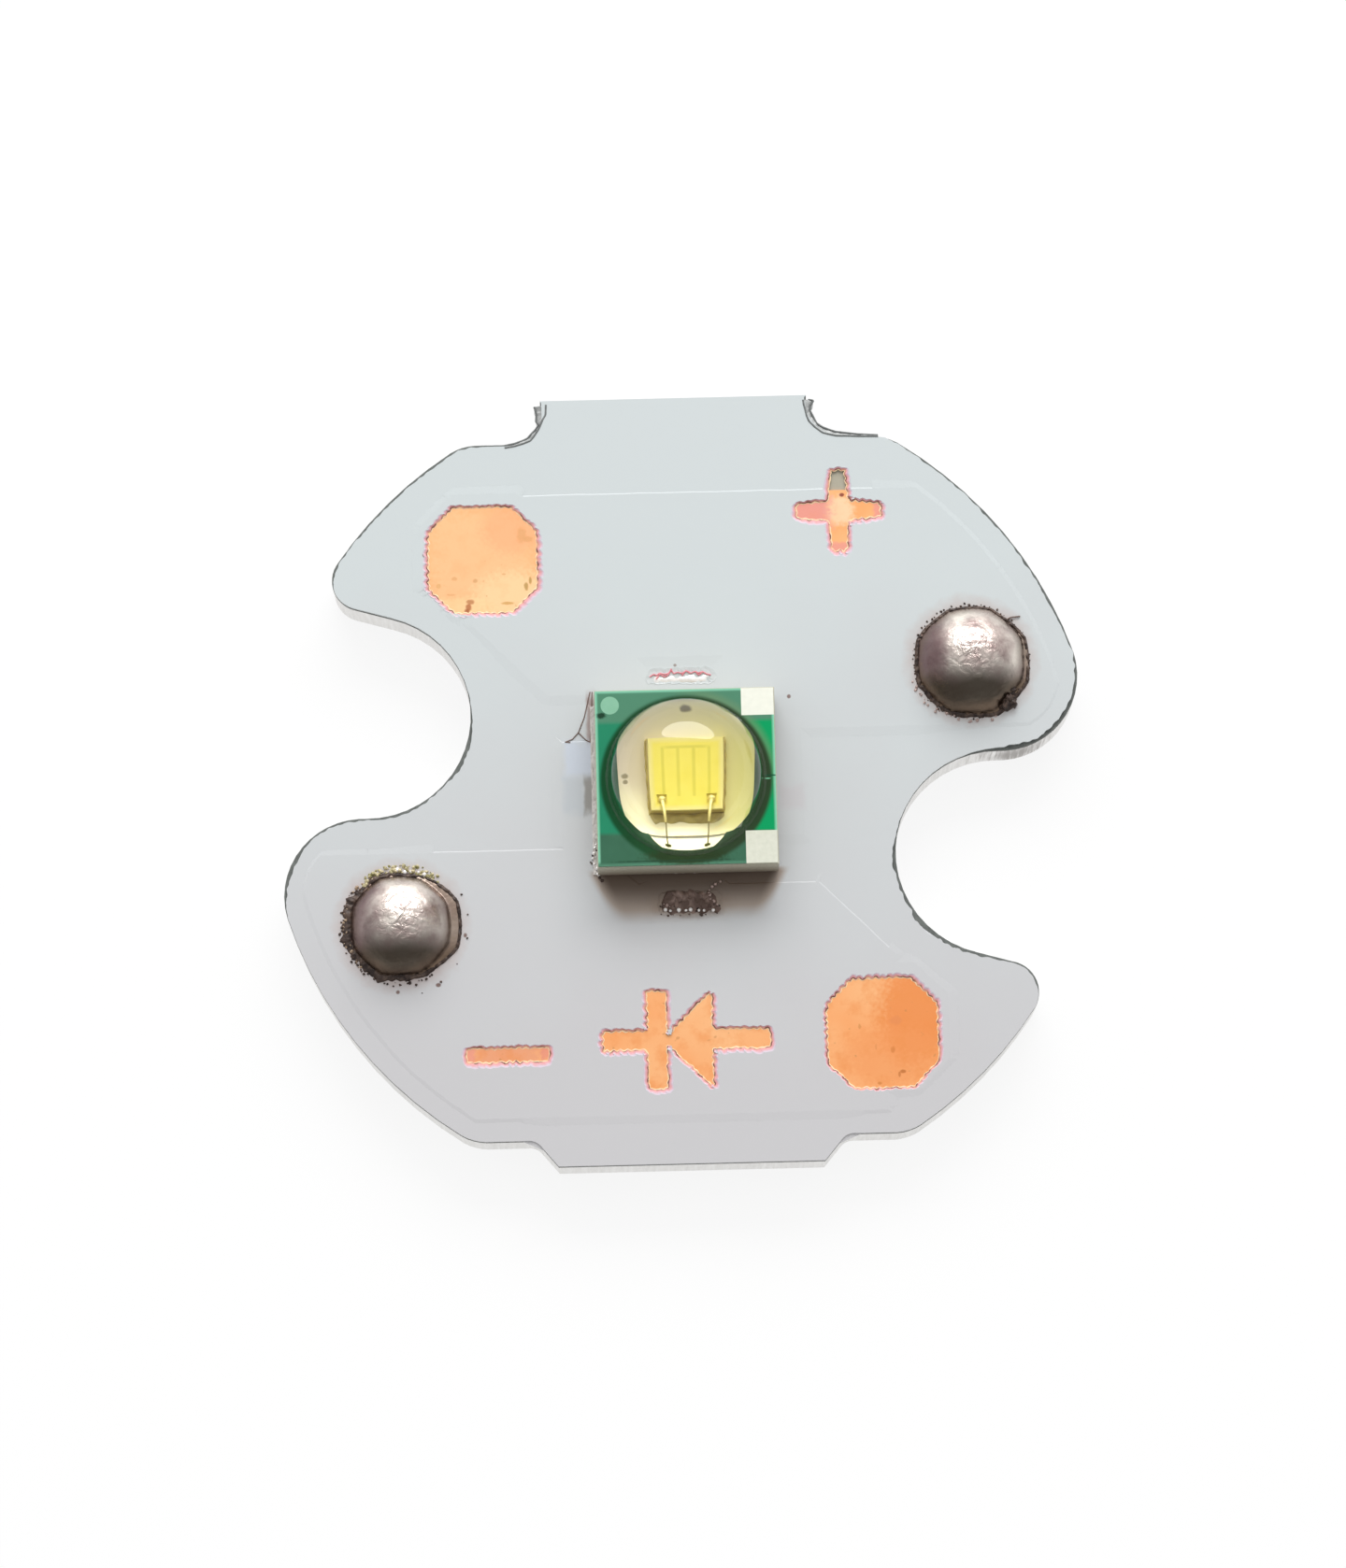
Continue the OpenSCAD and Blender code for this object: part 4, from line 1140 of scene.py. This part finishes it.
def make_blob(name, seed):
    """A domed solder blob with a thin apron round its foot. It stands for the CAD one."""
    centre, radius = BLOBS[name], BLOB_SEATS[name][1]
    top = span(name)[1].z
    height = top - FACE_Z - LUMP_ROOM
    corners, local = [(centre.x, centre.y, top - LUMP_ROOM)], [(0, 0, 0)]
    for ring in range(1, BLOB_RINGS + 1):
        share = math.sin(ring / BLOB_RINGS * math.pi / 2) ** 0.9
        for side in range(BLOB_SIDES):
            angle = 2 * math.pi * side / BLOB_SIDES
            low_down = max(0.0, (share - 0.5) / 0.5) ** 2
            reach = share * (radius + low_down * (apron_reach(angle, name, seed) - radius))
            core = radius + low_down * (dome_reach(angle, radius, seed) - radius)
            x, y = reach * math.cos(angle), reach * math.sin(angle)
            climb = min(1.0, reach / core)
            lump = 0.02 * noise.noise(Vector((x * 2.2, y * 2.2, seed + 4))) * (1 - share ** 4)
            dent = 0.014 * jitter(Vector((x, y)), 0.11, seed + 8) * max(0.0, 1 - share * 1.4)
            crown = height * (1 - climb ** 2.1) ** 0.72 + lump + dent
            apron = APRON_RISE * math.sqrt(1 - share ** 6)
            corners.append((centre.x + x, centre.y + y, FACE_Z + max(crown, apron)))
            local.append((x, y, reach / core))
    corners.append((centre.x, centre.y, FACE_Z))
    local.append((0, 0, 0))
    faces = ringed(BLOB_RINGS, BLOB_SIDES)
    blob = piece(f"{name}_dome", corners, faces, SOLDER, smooth=True)
    spots = blob.data.attributes.new("local", "FLOAT_VECTOR", "POINT")
    spots.data.foreach_set("vector", [value for spot in local for value in spot])
    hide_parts(name)


def make_flux_ring(name, width, heavy):
    """Burnt flux round a blob's foot, with spurs. It is widest on the side that heavy points to."""
    centre, seed = BLOBS[name], BLOB_SEEDS[name]
    heading = Vector(heavy).normalized()
    rows, sides = FLUX_ROWS, 3 * BLOB_SIDES
    corners, faces = [], []
    for side in range(sides):
        angle = 2 * math.pi * side / sides
        way = Vector((math.cos(angle), math.sin(angle)))
        inner = apron_reach(angle, name, seed) - FLUX_TUCK
        lean = max(0.0, 0.35 + 0.65 * way.dot(heading))
        patchy = 1 + 0.6 * jitter(way, 0.3, seed + 2) + 0.7 * jitter(way, 0.1, seed + 5)
        spur = max(0.0, jitter(way, 0.035, seed + 6) - 0.25) * 0.07
        reach = 0.045 + max(0.01, width * (0.12 + 0.88 * lean) * patchy) + spur * (0.3 + lean)
        for row in range(rows):
            share = row / (rows - 1)
            out = inner + reach * share
            spot = way * out
            clot = 1 + 0.8 * jitter(spot, 0.07, seed + 9)
            lift = FLUX_THICK * math.sqrt(1 - share * share) * clot + 0.002
            corners.append((centre.x + spot.x, centre.y + spot.y, FACE_Z + lift))
    count = len(corners)
    corners += [(x, y, FACE_Z - 0.01) for x, y, z in corners]
    for side in range(sides):
        a, b = side * rows, (side + 1) % sides * rows
        for row in range(rows - 1):
            faces.append((a + row, a + row + 1, b + row + 1, b + row))
            faces.append((count + b + row, count + b + row + 1, count + a + row + 1, count + a + row))
        faces.append((a, b, count + b, count + a))
        end = rows - 1
        faces.append((b + end, a + end, count + a + end, count + b + end))
    piece(f"{name}_flux", corners, faces, FLUX, smooth=True)


# The clear dome
DOME_SIDES = 128
DOME_ROWS = 56
FILLET_ROWS = 6
FLANK_START = math.radians(50)
FLANK_PULL = 0.045
DOME_ROOT = 0.01


def make_dome():
    """The dome as one clear body that reaches a little way into the tile, so that no air is left
    between it and the chip. It is a sphere above, and its flank draws in a little towards the
    foot, which ends in a fillet on the coat."""
    low, high = span("dome_lens")
    centre = middle("dome_lens")
    radius = (high.x - low.x) / 2
    coat_z = high.z - radius
    profile = []
    for i in range(1, DOME_ROWS + 1):
        lean = math.pi / 2 * i / DOME_ROWS
        t = max(0.0, (lean - FLANK_START) / (math.pi / 2 - FLANK_START))
        drawn_in = 1 - FLANK_PULL * t * t * (3 - 2 * t)
        profile.append((radius * math.sin(lean) * drawn_in, coat_z + radius * math.cos(lean)))
    fillet = radius * FLANK_PULL
    profile = [spot for spot in profile if spot[1] > coat_z + fillet]
    for i in range(FILLET_ROWS + 1):
        turn = math.pi / 2 * i / FILLET_ROWS
        profile.append((radius - fillet * math.cos(turn), coat_z + fillet * (1 - math.sin(turn))))
    profile.append((radius, TILE_HIGH.z - DOME_ROOT))
    corners = [(centre.x, centre.y, high.z)]
    for reach, z in profile:
        for side in range(DOME_SIDES):
            angle = 2 * math.pi * side / DOME_SIDES
            corners.append((centre.x + reach * math.cos(angle),
                            centre.y + reach * math.sin(angle), z))
    corners.append((centre.x, centre.y, TILE_HIGH.z - DOME_ROOT))
    faces = ringed(len(profile), DOME_SIDES)
    dome = piece("clear_dome", corners, faces, SILICONE, smooth=True)
    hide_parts("dome_lens")


# Beads, threads and crumbs, grown along paths with Geometry Nodes
THREAD_STEP = 0.03
THREAD_SIDES = 8
BEAD_FINENESS = 3


def begin_tree(name, sockets):
    """A new tree of Geometry Nodes that takes a path and a finish, and what it is given."""
    tree = bpy.data.node_groups.new(name, "GeometryNodeTree")
    sockets = {"Path": "Geometry", "Finish": "Material", "Seed": "Int", **sockets}
    for socket, kind in sockets.items():
        tree.interface.new_socket(socket, in_out="INPUT", socket_type=f"NodeSocket{kind}")
    tree.interface.new_socket("Grown", in_out="OUTPUT", socket_type="NodeSocketGeometry")
    given = node(tree, "NodeGroupInput")
    return tree, given, node(tree, "GeometryNodeMeshToCurve", {"Mesh": given["Path"]})


def end_tree(tree, given, geometry):
    """Ends a tree: its shape is smooth and carries the finish."""
    soft = node(tree, "GeometryNodeSetShadeSmooth", {0: geometry})
    finished = node(tree, "GeometryNodeSetMaterial", {
        "Geometry": soft, "Material": given["Finish"]})
    node(tree, "NodeGroupOutput", {0: finished})
    return tree


def bead_tree():
    """Geometry Nodes that set uneven beads along a path."""
    tree, given, path = begin_tree("uneven beads", {
        "Spacing": "Float", "Radius": "Float", "Smallest": "Float", "Scatter": "Vector",
        "Lump": "Float"})
    points = node(tree, "GeometryNodeResampleCurve", {
        "Curve": path, "Length": given["Spacing"]}, mode="LENGTH")
    negative = node(tree, "ShaderNodeVectorMath", {
        0: given["Scatter"], "Scale": -1.0}, operation="SCALE")
    shift = node(tree, "FunctionNodeRandomValue", {
        "Min": negative, "Max": given["Scatter"], "Seed": given["Seed"]},
        data_type="FLOAT_VECTOR")
    spread = node(tree, "GeometryNodeSetPosition", {"Geometry": points, "Offset": shift})
    ball = node(tree, "GeometryNodeMeshIcoSphere", {
        "Radius": given["Radius"], "Subdivisions": BEAD_FINENESS})
    size = node(tree, "FunctionNodeRandomValue", {
        2: given["Smallest"], 3: 1.0, "Seed": given["Seed"]}, data_type="FLOAT")
    set_out = node(tree, "GeometryNodeInstanceOnPoints", {
        "Points": spread, "Instance": ball, "Scale": size[1]})
    solid = node(tree, "GeometryNodeRealizeInstances", {0: set_out})
    place = node(tree, "GeometryNodeInputPosition")
    rough = node(tree, "ShaderNodeTexNoise", {"Vector": place, "Scale": per(0.05)})
    centred = node(tree, "ShaderNodeMath", {0: rough, 1: 0.5}, operation="SUBTRACT")
    amount = node(tree, "ShaderNodeMath", {0: centred, 1: given["Lump"]}, operation="MULTIPLY")
    facing = node(tree, "GeometryNodeInputNormal")
    push = node(tree, "ShaderNodeVectorMath", {0: facing, "Scale": amount}, operation="SCALE")
    return end_tree(tree, given, node(tree, "GeometryNodeSetPosition", {
        "Geometry": solid, "Offset": push}))


def thread_tree():
    """Geometry Nodes that lay a thin uneven thread along a path."""
    tree, given, path = begin_tree("uneven thread", {"Radius": "Float"})
    even = node(tree, "GeometryNodeResampleCurve", {
        "Curve": path, "Length": THREAD_STEP * MM}, mode="LENGTH")
    thickness = node(tree, "FunctionNodeRandomValue", {
        2: 0.4, 3: 1.0, "Seed": given["Seed"]}, data_type="FLOAT")
    uneven = node(tree, "GeometryNodeSetCurveRadius", {"Curve": even, "Radius": thickness[1]})
    circle = node(tree, "GeometryNodeCurvePrimitiveCircle", {
        "Resolution": THREAD_SIDES, "Radius": given["Radius"]})
    tube = node(tree, "GeometryNodeCurveToMesh", {
        "Curve": uneven, "Profile Curve": circle, "Fill Caps": True})
    return end_tree(tree, given, node(tree, "GeometryNodeRealizeInstances", {0: tube}))


BEADS = bead_tree()
THREAD = thread_tree()


def along(name, tree, paths, slot, finish, seed, **inputs):
    """Runs a tree along paths, given as lists of 3-D points, and keeps the result as a mesh. The
    sizes among its named inputs are in metres."""
    mesh = bpy.data.meshes.new(name)
    corners, edges = [], []
    for path in paths:
        start = len(corners)
        corners += [Vector(point) * MM for point in path]
        edges += [(start + i, start + i + 1) for i in range(len(path) - 1)]
    mesh.from_pydata(corners, edges, [])
    guide = bpy.data.objects.new(name, mesh)
    bpy.context.collection.objects.link(guide)
    modifier = guide.modifiers.new("grow", "NODES")
    modifier.node_group = tree
    inputs.update(Finish=finish, Seed=seed)
    for item in tree.interface.items_tree:
        if item.in_out == "INPUT" and item.name in inputs:
            modifier[item.identifier] = inputs[item.name]
    view = bpy.context.evaluated_depsgraph_get()
    made = bpy.data.meshes.new_from_object(guide.evaluated_get(view))
    guide.modifiers.remove(modifier)
    bpy.data.objects.remove(guide)
    return placed(name, made)


def beads(name, paths, spacing, radius, smallest, scatter, lump, seed, finish, slot="solder"):
    """Uneven beads along paths: the smallest is this share of the radius, and the scatter is how
    far they stray along each axis."""
    along(name, BEADS, paths, slot, finish, seed, Spacing=spacing * MM, Radius=radius * MM,
          Smallest=smallest, Scatter=Vector(scatter) * MM, Lump=lump * MM)


def thread(name, paths, radius, seed, finish, slot="solder"):
    """An uneven thread along paths."""
    along(name, THREAD, paths, slot, finish, seed, Radius=radius * MM)


def on_face(*paths, start=(0, 0)):
    """Paths of 3-D points above the mask's face. Their points have an X and a Y, measured from the
    start, and may have a lift."""
    return [[(start[0] + x, start[1] + y, FACE_Z + sum(lift)) for x, y, *lift in path]
            for path in paths]


def arc(centre, radius, start, end, count=24):
    """Points along an arc, from start to end in degrees."""
    turns = [math.radians(start + (end - start) * i / (count - 1)) for i in range(count)]
    return [(centre.x + radius * math.cos(t), centre.y + radius * math.sin(t)) for t in turns]


# The ink's torn edge behind the rear joint
JAGGED = (
    (-0.58, 2.12), (-0.5, 2.17), (-0.46, 2.14), (-0.38, 2.19), (-0.3, 2.16), (-0.22, 2.18),
    (-0.16, 2.24), (-0.12, 2.17), (-0.04, 2.2), (0.04, 2.17), (0.12, 2.22), (0.2, 2.19),
    (0.3, 2.21), (0.36, 2.17), (0.44, 2.2), (0.52, 2.15), (0.6, 2.13),
)
# Runs of beads along the joint's front edge and at the package's lower left corner: their paths,
# spacing, radius, smallest share, scatter, lumps, seed and finish
BEAD_RUNS = {
    "front_beads": (
        on_face(((-0.4, -2.47, 0.02), (0.5, -2.49, 0.02))),
        0.115, 0.045, 0.5, (0.025, 0.012, 0.01), 0.02, 4, PAINTED_GLINT_SOLDER),
    "front_curl": (
        on_face(((0.66, -1.93, 0.01), (0.56, -1.98, 0.03), (0.45, -2.14, 0.03),
                 (0.5, -2.26, 0.03), (0.6, -2.38, 0.02)),
                ((-0.42, -2.36, 0.02), (-0.3, -2.42, 0.02))),
        0.05, 0.034, 0.4, (0.02, 0.02, 0.01), 0.04, 9, PALE_FLAKES),
    "front_flux_beads": (
        on_face(((-0.5, -2.42), (0.66, -2.42)), ((-0.45, -2.55), (0.62, -2.54))),
        0.1, 0.032, 0.3, (0.04, 0.05, 0.01), 0.05, 19, FLUX),
    "corner_beads": (
        on_face(((-0.04, 0.62, 0.02), (-0.09, 0.35, 0.02), (-0.02, 0.02, 0.02)), start=TILE_LOW),
        0.09, 0.045, 0.5, (0.03, 0.02, 0.02), 0.03, 2, PAINTED_GLINT_SOLDER),
    "corner_flux": (
        on_face(((-0.05, 0.5), (-0.12, 0.3), (-0.02, 0.02), (0.1, -0.1)), start=TILE_LOW),
        0.06, 0.035, 0.4, (0.03, 0.03, 0.01), 0.04, 12, FLUX),
}
# Crystals and crumbs on arcs round a blob: its name, the arc's radius and ends in degrees, and
# the beads' radius, spacing, finish, seed, scatter and lumps
BEAD_ARCS = {
    "left_crystals": ("negative", 1.15, (54, 126), 0.042, 0.035, CRYSTALS, 6, 0.045, 0.05),
    "left_inner_crystals": ("negative", 1.07, (48, 132), 0.045, 0.04, CRYSTALS, 16, 0.04, 0.05),
    "left_sparkles": ("negative", 1.07, (50, 92), 0.05, 0.13, PAINTED_GLINT_SOLDER, 8, 0.03, 0.02),
    "left_crumbs": ("negative", 1.14, (140, 300), 0.03, 0.07, FLUX, 21, 0.04, 0.05),
    "left_tan_crumbs": ("negative", 1.08, (125, 235), 0.034, 0.045, TAN_FLUX, 25, 0.05, 0.05),
    "left_sparse_crumbs": ("negative", 1.3, (285, 390), 0.026, 0.45, FLUX, 22, 0.07, 0.05),
    "right_crumbs": ("positive", 1.1, (195, 330), 0.034, 0.07, FLUX, 31, 0.05, 0.05),
    "right_pale_crumbs": ("positive", 1.17, (200, 300), 0.034, 0.07, PALE_FLAKES, 35, 0.05, 0.05),
    "right_sparse_crumbs": ("positive", 1.12, (-60, 190), 0.026, 0.08, FLUX, 32, 0.03, 0.05),
}


def make_solder_traces():
    """Solder in the middle joint, and the beads, threads and crumbs that soldering left behind."""
    lands = [
        daub("middle_joint", (-0.6, TILE_LOW.y - 0.02), (0.6, TILE_HIGH.y - 0.05), FOIL_Z, 0.07,
             JOINT, 2.2, 0.06),
        daub("rear_joint_edge", (-0.53, 1.98), (0.58, 2.17), FOIL_Z, 0.045, PAINTED_GLINT_SOLDER,
             5.1),
        daub("front_joint_edge", (-0.5, -2.54), (0.66, -2.08), FOIL_Z, 0.07, FLUX_AND_SHADOW_SOLDER,
             8.4, 0.02, 0.09, -0.35),
    ]
    for land in lands:
        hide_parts("led_thermal_solder")
    inner = [(x, 2 * y - 2.21) for x, y in JAGGED[2:-2]]
    torn = on_face(JAGGED[:7], JAGGED[6:12], JAGGED[12:], inner[:5], inner[7:])
    thread("pink_edge", torn, 0.014, 7, PINK_INK, "mask")
    for name, run in BEAD_RUNS.items():
        beads(name, *run)
    # Flux threads beside the upper left corner
    thread("flux_threads", on_face(
        ((-2.24, 0.87), (-2.1, 0.92), (-1.98, 1.05), (-1.86, 1.35), (-1.74, 1.85)),
        ((-2.24, 0.87), (-2.14, 0.86)),
        ((-1.99, 1.06), (-1.84, 0.9), (-1.74, 0.85)),
        ((-1.76, 0.86), (-1.73, 1.25), (-1.7, 1.85))), 0.011, 1, DRIED_FLUX)
    for name, (blob, radius, turn, size, spacing, finish, seed, scatter, lump) in BEAD_ARCS.items():
        paths = on_face(arc(BLOBS[f"{blob}_blob"], radius, *turn))
        beads(name, paths, spacing, size, 0.35, (scatter, scatter, 0.012), lump, seed, finish)
    # The clump of flux at the right blob's foot, and a hair of it
    right = BLOBS["positive_blob"]
    daub("right_clump", (right.x + 0.47, right.y - 1.0), (right.x + 0.88, right.y - 0.46),
         FACE_Z, 0.2, FLUX, 4.4, 0.02, 0.1)
    hair = on_face(((0.68, 0.78, 0.02), (0.8, 0.84, 0.03), (0.98, 0.86, 0.02)), start=right)
    thread("right_hair", hair, 0.014, 3, DRIED_FLUX)


# Outer and inner edge of each burr, from the tab's end down
BURRS = {
    "left": (
        [(-2.71, 7.6), (-2.67, 7.47), (-2.68, 7.3), (-2.63, 7.23), (-2.7, 7.13), (-2.78, 7.05),
         (-2.85, 6.97), (-2.93, 6.93), (-3.1, 6.87), (-3.3, 6.83)],
        [(-2.48, 7.62), (-2.49, 7.42), (-2.55, 7.32), (-2.59, 7.22), (-2.63, 7.13), (-2.73, 6.98),
         (-2.8, 6.9), (-2.93, 6.85), (-3.1, 6.8), (-3.3, 6.77)],
    ),
    "right": (
        [(2.64, 7.62), (2.75, 7.6), (2.68, 7.5), (2.67, 7.4), (2.74, 7.25), (2.79, 7.14),
         (2.9, 7.06), (3.04, 7.0), (3.15, 6.96), (3.36, 6.93), (3.57, 6.9), (3.98, 6.87)],
        [(2.54, 7.6), (2.55, 7.5), (2.57, 7.43), (2.6, 7.28), (2.64, 7.17), (2.75, 7.05),
         (2.9, 6.93), (3.04, 6.89), (3.17, 6.86), (3.42, 6.85), (3.6, 6.84), (3.98, 6.83)],
    ),
}
BURR_STEPS = 90
BURR_ROOT = 0.25
BURR_FOOT = 0.4
# How far the burr's outer edge, its inner edge, its root and its outer line of painted shade lie
# below the mask
BURR_OUTER = 0.08
BURR_INNER = 0.012
BURR_DEEP = 0.1
SHADE_LINE_OUTER = 0.07


def evened(path, count):
    """That many points spread evenly along a path."""
    points = [Vector(point) for point in path]
    lengths = [0.0]
    for a, b in zip(points, points[1:]):
        lengths.append(lengths[-1] + (b - a).length)
    made, k = [], 0
    for i in range(count):
        at = lengths[-1] * i / (count - 1)
        while k < len(points) - 2 and lengths[k + 1] < at:
            k += 1
        made.append(points[k].lerp(points[k + 1], (at - lengths[k]) / (lengths[k + 1] - lengths[k])))
    return made


def make_burrs():
    """Torn metal in the hollow corners beside the wider break-off tab: a grey band that runs out
    past the ink, with a dark line of painted shade on either side."""
    for name, (outer, inner) in BURRS.items():
        outer, inner = evened(outer, BURR_STEPS), evened(inner, BURR_STEPS)
        corners, faces = [], []
        for i in range(BURR_STEPS):
            out, back = outer[i], inner[i]
            out = out + (out - back) * (0.12 * jitter(out, 0.05, 4.2))
            deep = back - (outer[i] - back).normalized() * BURR_ROOT
            lift = 0.02 * jitter(out, 0.08, 6.5)
            corners += [
                (out.x, out.y, BURR_FOOT), (out.x, out.y, FACE_Z - BURR_OUTER + lift),
                (back.x, back.y, FACE_Z - BURR_INNER), (deep.x, deep.y, FACE_Z - BURR_DEEP),
                (deep.x, deep.y, BURR_FOOT),
            ]
        for i in range(BURR_STEPS - 1):
            a, b = 5 * i, 5 * i + 5
            faces += [(a + k, b + k, b + (k + 1) % 5, a + (k + 1) % 5) for k in range(5)]
        last = 5 * (BURR_STEPS - 1)
        faces += [(4, 3, 2, 1, 0), tuple(last + k for k in range(5))]
        if name == "right":
            faces = [tuple(reversed(face)) for face in faces]
        piece(f"{name}_burr", corners, faces, BURR)
        # Dark threads along both edges of the burr, which are painted shade
        shade_lines = on_face([(p.x, p.y, -SHADE_LINE_OUTER) for p in outer],
                       [(p.x, p.y, -BURR_INNER) for p in inner])
        thread(f"{name}_burr_shade_lines", shade_lines, 0.02, 3, BURR_SHADE_LINE, "aluminium")


def make_adhesive():
    """Die adhesive that was squeezed out in front of the chip and beside it."""
    mirror_z = span("anode_mirror")[1].z
    low, high = span("led_die")
    daub("die_adhesive", (low.x - 0.01, low.y - 0.14), (high.x + 0.01, low.y + 0.01),
         mirror_z, 0.05, ADHESIVE, 6.6, 0.02, 0.03, 0.16)
    strips = (("left", low.x - 0.018, low.x + 0.01), ("right", high.x - 0.01, high.x + 0.012))
    for side, start, end in strips:
        daub(f"die_adhesive_{side}", (start, low.y - 0.02), (end, high.y - 0.02), mirror_z, 0.07,
             ADHESIVE, 2.6, 0.015, 0.014)


# Bond wires
WIRE_STEPS = 28
WIRE_SIDES = 12
WIRE_ARCH = 0.16
WIRE_THICK = 0.03
WIRE_THIN = 0.011
WIRE_BROAD = 0.55
WIRE_SEAT = 0.015
BOND_RADIUS = 0.05


def make_wire(name, side):
    """A gold wire from the chip's contact down to the strip. It is thick at its first bond, and
    thins towards the second one."""
    low, high = span(name)
    edge = (high.x, low.x)[side < 0] - side * BOND_RADIUS
    other = (low.x, high.x)[side < 0] + side * BOND_RADIUS
    start = Vector((edge, high.y - BOND_RADIUS, span("die_contacts")[1].z + WIRE_SEAT))
    end = Vector((other, low.y + BOND_RADIUS, low.z + WIRE_SEAT))
    points = []
    for i in range(WIRE_STEPS + 1):
        t = i / WIRE_STEPS
        lift = 4 * WIRE_ARCH * t * (1 - t)
        points.append(start.lerp(end, t) + Vector((0, 0, lift)))
    corners, faces = [], []
    for i, point in enumerate(points):
        ahead = points[min(i + 1, WIRE_STEPS)] - points[max(i - 1, 0)]
        across = ahead.cross(Vector((0, 0, 1))).normalized()
        above = across.cross(ahead).normalized()
        broad = max(0.0, 1 - i / (WIRE_BROAD * WIRE_STEPS))
        radius = WIRE_THIN + (WIRE_THICK - WIRE_THIN) * broad ** 0.4
        for j in range(WIRE_SIDES):
            angle = 2 * math.pi * j / WIRE_SIDES
            corners.append(point + radius * (math.cos(angle) * across + math.sin(angle) * above))
    for i in range(WIRE_STEPS):
        for j in range(WIRE_SIDES):
            a, b = i * WIRE_SIDES + j, i * WIRE_SIDES + (j + 1) % WIRE_SIDES
            faces.append((b, a, a + WIRE_SIDES, b + WIRE_SIDES))
    faces.append(tuple(range(WIRE_SIDES)))
    last = WIRE_STEPS * WIRE_SIDES
    faces.append(tuple(last + j for j in reversed(range(WIRE_SIDES))))
    wire = piece(f"{name}_drawn", corners, faces, GOLD, smooth=True)
    # The thinner, lower part of the wire takes the darker gold, which is painted shade
    wire.data.materials.append(SHADED_GOLD)
    for face in wire.data.polygons:
        if face.center.y / MM < points[int(WIRE_BROAD * WIRE_STEPS)].y:
            face.material_index = 1
    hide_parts(name)
    # The second bond takes the olive finish, which is painted shade
    for ball, place, finish in (("first", start, GOLD), ("second", end, SHADED_BOND)):
        path = [place, place + Vector((0.001, 0, 0))]
        beads(f"{name}_{ball}_bond", [path], 1.0, BOND_RADIUS, 1.0, (0, 0, 0), 0.01, side + 3,
              finish, "gold")


# The stage: floor, world and lamp
def make_stage():
    """A white floor under the board, a white world and one large soft lamp."""
    mesh = bpy.data.meshes.new("floor")
    corners = box_outline((-FLOOR_REACH, -FLOOR_REACH), (FLOOR_REACH, FLOOR_REACH))
    mesh.from_pydata([Vector((x, y, 0)) * MM for x, y in corners], [], [(0, 1, 2, 3)])
    floor = bpy.data.objects.new("floor", mesh)
    bpy.context.collection.objects.link(floor)
    made, tree = material("white floor", base_color=linear("#ffffff"), roughness=0.9,
                          specular_ior_level=0.0)
    mesh.materials.append(made)
    path = node(tree, "ShaderNodeLightPath")
    seen = node(tree, "ShaderNodeMath", {
        0: path["Is Camera Ray"], 1: path["Is Glossy Ray"]}, operation="MAXIMUM")
    seen = node(tree, "ShaderNodeMath", {
        0: seen, 1: path["Is Transmission Ray"]}, operation="MAXIMUM")
    lift = node(tree, "ShaderNodeMath", {0: seen, 1: FLOOR_GLOW}, operation="MULTIPLY")
    overlaid(made, lift, node(tree, "ShaderNodeEmission", {"Strength": 1.0}))

    world = bpy.data.worlds.new("studio world")
    bpy.context.scene.world = world
    world.use_nodes = True
    tree = world.node_tree
    way = node(tree, "ShaderNodeTexCoord")["Generated"]
    rise = math.radians(WINDOW_RISE)
    towards = node(tree, "ShaderNodeVectorMath", {
        0: way, 1: (0, math.cos(rise), math.sin(rise))}, operation="DOT_PRODUCT")
    strength = node(tree, "ShaderNodeMapRange", {
        "Value": towards["Value"], "From Min": 0.1, "From Max": 0.85,
        "To Min": WORLD_DIM, "To Max": WORLD_BRIGHT})
    background = tree.nodes["Background"]
    background.inputs["Color"].default_value = (1, 1, 1, 1)
    tree.links.new(strength[0], background.inputs["Strength"])

    lamp = bpy.data.lights.new("soft lamp", "AREA")
    lamp.shape = "ELLIPSE"
    lamp.size = LAMP_WIDTH * MM
    lamp.size_y = LAMP_HEIGHT * MM
    lamp.energy = LAMP_POWER
    holder = bpy.data.objects.new("soft lamp", lamp)
    bpy.context.collection.objects.link(holder)
    rise = math.radians(LAMP_RISE)
    way = Vector((LAMP_ASIDE, math.cos(rise), math.sin(rise))).normalized()
    place = way * LAMP_DISTANCE * MM
    turn = way.to_track_quat("Z", "Y").to_matrix().to_4x4()
    holder.matrix_world = Matrix.Translation(place) @ turn


WINDOW_RISE = 35
WORLD_DIM = 0.42
WORLD_BRIGHT = 1.0
LAMP_WIDTH = 300.0
LAMP_HEIGHT = 130.0
LAMP_DISTANCE = 250.0
LAMP_RISE = 31
LAMP_ASIDE = 0.06
LAMP_POWER = 0.5
FLOOR_GLOW = 0.85
FLOOR_REACH = 600.0

bpy.context.scene.view_settings.view_transform = "Standard"
make_camera()
make_stage()
make_mask()
for name, seed in BLOB_SEEDS.items():
    make_blob(name, seed)
make_flux_ring("positive_blob", 0.04, (-0.4, -1.0))
make_flux_ring("negative_blob", 0.12, (-0.95, -0.3))
make_dome()
make_solder_traces()
make_burrs()
make_adhesive()
make_wire("left_bond_wire", -1)
make_wire("right_bond_wire", 1)
